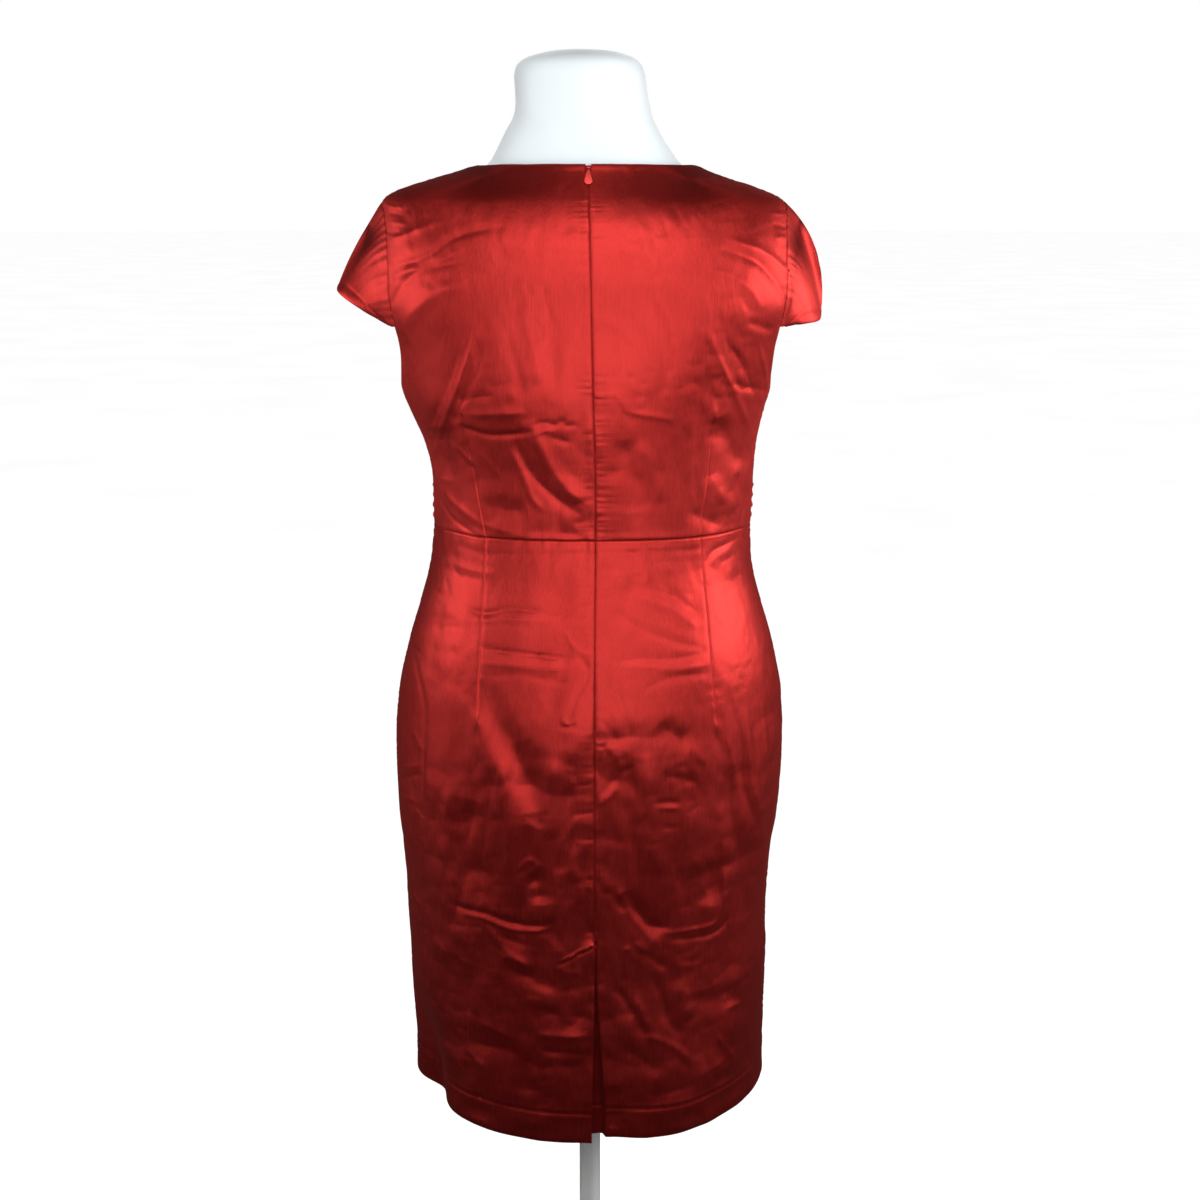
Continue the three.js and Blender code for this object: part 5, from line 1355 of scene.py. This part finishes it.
def build_slider_and_pull():
    across, down, nrm = local_frame()

    def world(v, origin):
        return origin + v[:, :1] * across + v[:, 1:2] * down + v[:, 2:3] * nrm
    seat = BAR_WORLD - nrm * 5.3                             # the bar stands 5.3 mm above the cloth line
    # slider: a shield-shaped plate with a raised saddle and a bridge for the pull
    w, l = 3.0, 4.5
    shape = [(-w + 1.0, -l), (0, -l - 0.05), (w - 1.0, -l), (w - 0.25, -l + 0.6), (w, -l + 1.6), (w - 0.15, 0), (w - 0.6, l - 0.5),
             (w - 1.1, l), (0, l + 0.05), (-w + 1.1, l), (-w + 0.6, l - 0.5), (-w + 0.15, 0), (-w, -l + 1.6), (-w + 0.25, -l + 0.6)]
    parts = [lathe_outline(shape, 0.5, 2.3, 0.45)]
    top = [(x * 0.62, y * 0.74) for x, y in shape]
    parts.append(lathe_outline(top, 2.15, 2.75, 0.28))
    for s in (-1, 1):
        x0, x1 = (s * 1.95, s * 2.92) if s > 0 else (s * 2.92, s * 1.95)
        cheek = [(x0, -1.8), (x1, -1.8), (x1, 1.8), (x0, 1.8)]
        fine = []
        for k in range(4):
            a, b = np.array(cheek[k]), np.array(cheek[(k + 1) % 4])
            for t in (0.06, 0.5, 0.94):
                fine.append(tuple(a + (b - a) * t))
        parts.append(lathe_outline(fine, 1.9, 6.2, 0.3))
    bar = [(x, 0, 5.3) for x in np.linspace(-2.6, 2.6, 9)]
    v, f = [], []
    for p in bar:
        for k in range(14):
            q = 2 * math.pi * k / 14
            v.append((p[0], 0.8 * math.cos(q), p[2] + 0.8 * math.sin(q)))
    for i in range(len(bar) - 1):
        for k in range(14):
            kk = (k + 1) % 14
            f.append((i * 14 + k, i * 14 + kk, (i + 1) * 14 + kk, (i + 1) * 14 + k))
    f.append(tuple(range(14))[::-1])
    f.append(tuple((len(bar) - 1) * 14 + k for k in range(14)))
    parts.append((np.array(v), f))
    v, f = join(parts)
    ob = mesh_object("zip_slider_body", world(v, seat), f, PAINT, sharp=50)
    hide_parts("zip_slider")

    # pull: an eye round the bar, a neck, and a teardrop leaf with a rounded rim
    lay = math.radians(-10)
    ca, sa = math.cos(lay), math.sin(lay)

    def tilt(v):
        return np.stack([v[:, 0], v[:, 1] * ca - v[:, 2] * sa, v[:, 1] * sa + v[:, 2] * ca], 1)
    eye_v, eye_f = [], []
    rings_x = [-1.7, -1.55, -1.3, 1.3, 1.55, 1.7]
    r_out = [1.75, 1.95, 2.05, 2.05, 1.95, 1.75]
    r_in = [1.35, 1.2, 1.15, 1.15, 1.2, 1.35]
    seg = 28
    m = len(rings_x)
    for radii in (r_out, r_in):
        for x, rad in zip(rings_x, radii):
            for k in range(seg):
                q = 2 * math.pi * k / seg
                eye_v.append((x, rad * math.cos(q), rad * math.sin(q)))
    for k in range(seg):
        kk = (k + 1) % seg
        for i in range(m - 1):
            eye_f.append((i * seg + k, i * seg + kk, (i + 1) * seg + kk, (i + 1) * seg + k))
            b = m * seg
            eye_f.append((b + i * seg + k, b + (i + 1) * seg + k, b + (i + 1) * seg + kk, b + i * seg + kk))
        eye_f.append((k, m * seg + k, m * seg + kk, kk))
        e = (m - 1) * seg
        eye_f.append((e + k, e + kk, m * seg + e + kk, m * seg + e + k))
    leaf = []
    for x, y in ((1.5, 1.75), (1.62, 2.6), (1.8, 3.6), (2.2, 5.0), (2.75, 7.0), (3.3, 9.2), (3.75, 11.2), (4.0, 12.1)):
        leaf.append((x, y))
    for k in range(1, 24):
        t = math.pi * k / 24
        leaf.append((4.0 * math.cos(t), 12.1 + 4.05 * math.sin(t)))
    leaf += [(-x, y) for x, y in reversed(leaf[:8])]
    lv, lf = lathe_outline(leaf, -0.6, 0.6, 0.38)
    v, f = join([(np.array(eye_v), eye_f), (lv, lf)])
    ob = mesh_object("zip_pull_tab", world(tilt(v), BAR_WORLD), f, PAINT, body="pull", sharp=50)
    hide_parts("zip_pull")


build_slider_and_pull()


# ------------------------------------------------------------------- the stand
def lathe(name, profile, node, seg=96):
    profile = np.array(profile, float)
    v, f = [], []
    for r, z in profile:
        for k in range(seg):
            q = 2 * math.pi * k / seg
            v.append((r * math.cos(q), r * math.sin(q), z))
    m = len(profile)
    for i in range(m - 1):
        for k in range(seg):
            kk = (k + 1) % seg
            f.append((i * seg + k, i * seg + kk, (i + 1) * seg + kk, (i + 1) * seg + k))
    f.append(tuple(range(seg))[::-1])
    f.append(tuple((m - 1) * seg + k for k in range(seg)))
    ob = mesh_object(name, np.array(v), f, STAND, sharp=35)
    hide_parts(node)
    return ob


def arc(cx, cz, r, a0, a1, n=6):
    return [(cx + r * math.cos(math.radians(a)), cz + r * math.sin(math.radians(a))) for a in np.linspace(a0, a1, n)]


lathe("stand_plate", [(0.5, 0.0), (150, 0.0), (198.6, 0.0)] + arc(198.6, 1.2, 1.2, -60, 0, 4) + arc(197, 9, 3, 0, 90, 7)
      + [(190, 12.0), (120, 12.0), (60, 12.0), (27, 12.0), (0.5, 12.0)], "stand_base", 160)
lathe("stand_post", [(0.5, 12.3), (23.2, 12.3)] + arc(23.0, 13.3, 1.0, -60, 0, 4) + arc(21, 39.3, 3, 0, 90, 6)
      + [(16, 42.3)] + arc(12.2, 43.5, 1.2, -90, -180, 4) + [(11, 60), (11, 240), (11, 430), (11, 620), (11, 770), (11, 781.7)]
      + arc(25.5, 788.5, 1.5, -50, 0, 4) + [(27, 799.0), (26.3, 799.7), (0.5, 799.7)], "stand_pole", 64)


# ------------------------------------------------------ floor, light and camera
def plain_floor():
    me = bpy.data.meshes.new("studio_floor")
    r = 60.0
    seg = 128
    vs = [(r * math.cos(2 * math.pi * k / seg), r * math.sin(2 * math.pi * k / seg), 0) for k in range(seg)]
    me.from_pydata(vs, [], [tuple(range(seg))])
    m, nt, b = new_material("pale_floor")
    tc = nt.nodes.new("ShaderNodeTexCoord").outputs["Object"]
    v = noise(nt, tc, 1.2, (1, 1, 1), 3)
    nt.links.new(ramp(nt, v, [(0.3, (0.80, 0.80, 0.80, 1)), (0.7, (0.84, 0.84, 0.84, 1))]), b.inputs["Base Color"])
    b.inputs["Roughness"].default_value = 0.9
    me.materials.append(m)
    ob = bpy.data.objects.new("studio_floor", me)
    bpy.context.scene.collection.objects.link(ob)
    ob.visible_glossy = False
    ob.visible_diffuse = False
    return ob


FLOOR = plain_floor()
scene = bpy.context.scene
scene.view_settings.view_transform = "Standard"
scene.view_settings.look = "None"
scene.view_settings.exposure = 0.0

world = bpy.data.worlds.new("studio")
scene.world = world
world.use_nodes = True
wn = world.node_tree
wn.nodes.clear()
wo = wn.nodes.new("ShaderNodeOutputWorld")
mixw = wn.nodes.new("ShaderNodeMixShader")
lp = wn.nodes.new("ShaderNodeLightPath")
dim, pale = wn.nodes.new("ShaderNodeBackground"), wn.nodes.new("ShaderNodeBackground")
dim.inputs[0].default_value = (0.95, 0.97, 1.0, 1)
dim.inputs[1].default_value = 0.024
pale.inputs[0].default_value = (1, 1, 1, 1)
pale.inputs[1].default_value = 1.0
wn.links.new(lp.outputs["Is Camera Ray"], mixw.inputs[0])
wn.links.new(dim.outputs[0], mixw.inputs[1])
wn.links.new(pale.outputs[0], mixw.inputs[2])
wn.links.new(mixw.outputs[0], wo.inputs[0])


def area(name, place, target, size, power, spread_deg=180, colour=(1, 1, 1)):
    d = bpy.data.lights.new(name, "AREA")
    d.shape = "RECTANGLE"
    d.size, d.size_y = size
    d.energy = power
    d.spread = math.radians(spread_deg)
    d.color = colour
    ob = bpy.data.objects.new(name, d)
    ob.location = place
    v = np.array(target, float) - np.array(place, float)
    from mathutils import Vector
    ob.rotation_euler = Vector(v).to_track_quat("-Z", "Y").to_euler()
    ob.visible_camera = False
    scene.collection.objects.link(ob)
    return ob


area("key_near", (0.1, -1.3, 1.60), (0, 0, 1.2), (1.4, 0.4), 4.1, 180)
area("key_high", (0.1, -1.1, 2.00), (0, 0, 1.25), (1.2, 0.4), 5.9, 180)
area("key_low", (0.1, -1.5, 0.95), (0, 0, 1.25), (1.6, 0.4), 1.1, 70)
area("key_far", (0.1, -2.1, 1.00), (0, 0, 1.22), (2.0, 0.5), 0.45, 70)
area("skirt_wash", (0.1, -1.5, 1.30), (0, 0, 0.85), (1.2, 0.25), 0.3, 90)
area("side_right", (1.5, -0.3, 1.35), (0, 0, 1.05), (0.6, 0.6), 2.5, 100)
area("side_left", (-1.5, -0.3, 1.35), (0, 0, 1.05), (0.6, 0.6), 1.3, 100)
area("edge_right", (1.5, 0.1, 1.33), (0, 0, 1.02), (0.6, 0.6), 1.6, 100)
area("edge_left", (-1.5, 0.1, 1.33), (0, 0, 1.02), (0.6, 0.6), 0.8, 100)
area("low_right", (1.6, -0.3, 0.60), (0, 0, 0.72), (0.5, 0.5), 0.65, 120)
area("low_left", (-1.6, -0.3, 0.60), (0, 0, 0.72), (0.5, 0.5), 0.6, 120)
FRONT_LIGHTS = [area("front_near", (-0.1, 1.3, 1.60), (0, 0, 1.2), (1.4, 0.4), 4.1, 180),
                area("front_high", (-0.1, 1.1, 2.00), (0, 0, 1.25), (1.2, 0.4), 5.9, 180),
                area("front_low", (-0.1, 1.5, 0.95), (0, 0, 1.25), (1.6, 0.4), 1.1, 70),
                area("front_wash", (-0.1, 1.5, 1.30), (0, 0, 0.85), (1.2, 0.25), 0.5, 90)]
WHITE_LIGHTS = [area("form_back", (1.5, -2.4, 1.9), (0, 0, 1.35), (1.6, 1.6), 30, 180)]

# an even wash from straight above that only the floor receives
sun = bpy.data.lights.new("floor_wash", "SUN")
sun.energy = 3.9
sun.angle = math.radians(35)
sun_ob = bpy.data.objects.new("floor_wash", sun)
sun_ob.location = (0, 0, 6)
scene.collection.objects.link(sun_ob)
only_floor = bpy.data.collections.new("floor_only")
only_floor.objects.link(FLOOR)
sun_ob.light_linking.receiver_collection = only_floor

# the white form and its stand get a soft light of their own, and the front pieces theirs
only_white = bpy.data.collections.new("white_only")
for name in ("form_torso_and_neck", "stand_plate", "stand_post"):
    only_white.objects.link(bpy.data.objects[name])
for ob in WHITE_LIGHTS:
    ob.light_linking.receiver_collection = only_white
only_front = bpy.data.collections.new("front_only")
for name in ("bodice_front", "skirt_front", "form_torso_and_neck", "stand_plate", "stand_post"):
    only_front.objects.link(bpy.data.objects[name])
for ob in FRONT_LIGHTS:
    ob.light_linking.receiver_collection = only_front

cam = bpy.data.cameras.new("camera")
cam.lens = 57.81
cam.sensor_width = 36
cam_ob = bpy.data.objects.new("camera", cam)
cam_ob.location = (0.0109, -1.900, 1.3805)
cam_ob.rotation_euler = (math.radians(77.85), 0, 0)
scene.collection.objects.link(cam_ob)
scene.camera = cam_ob
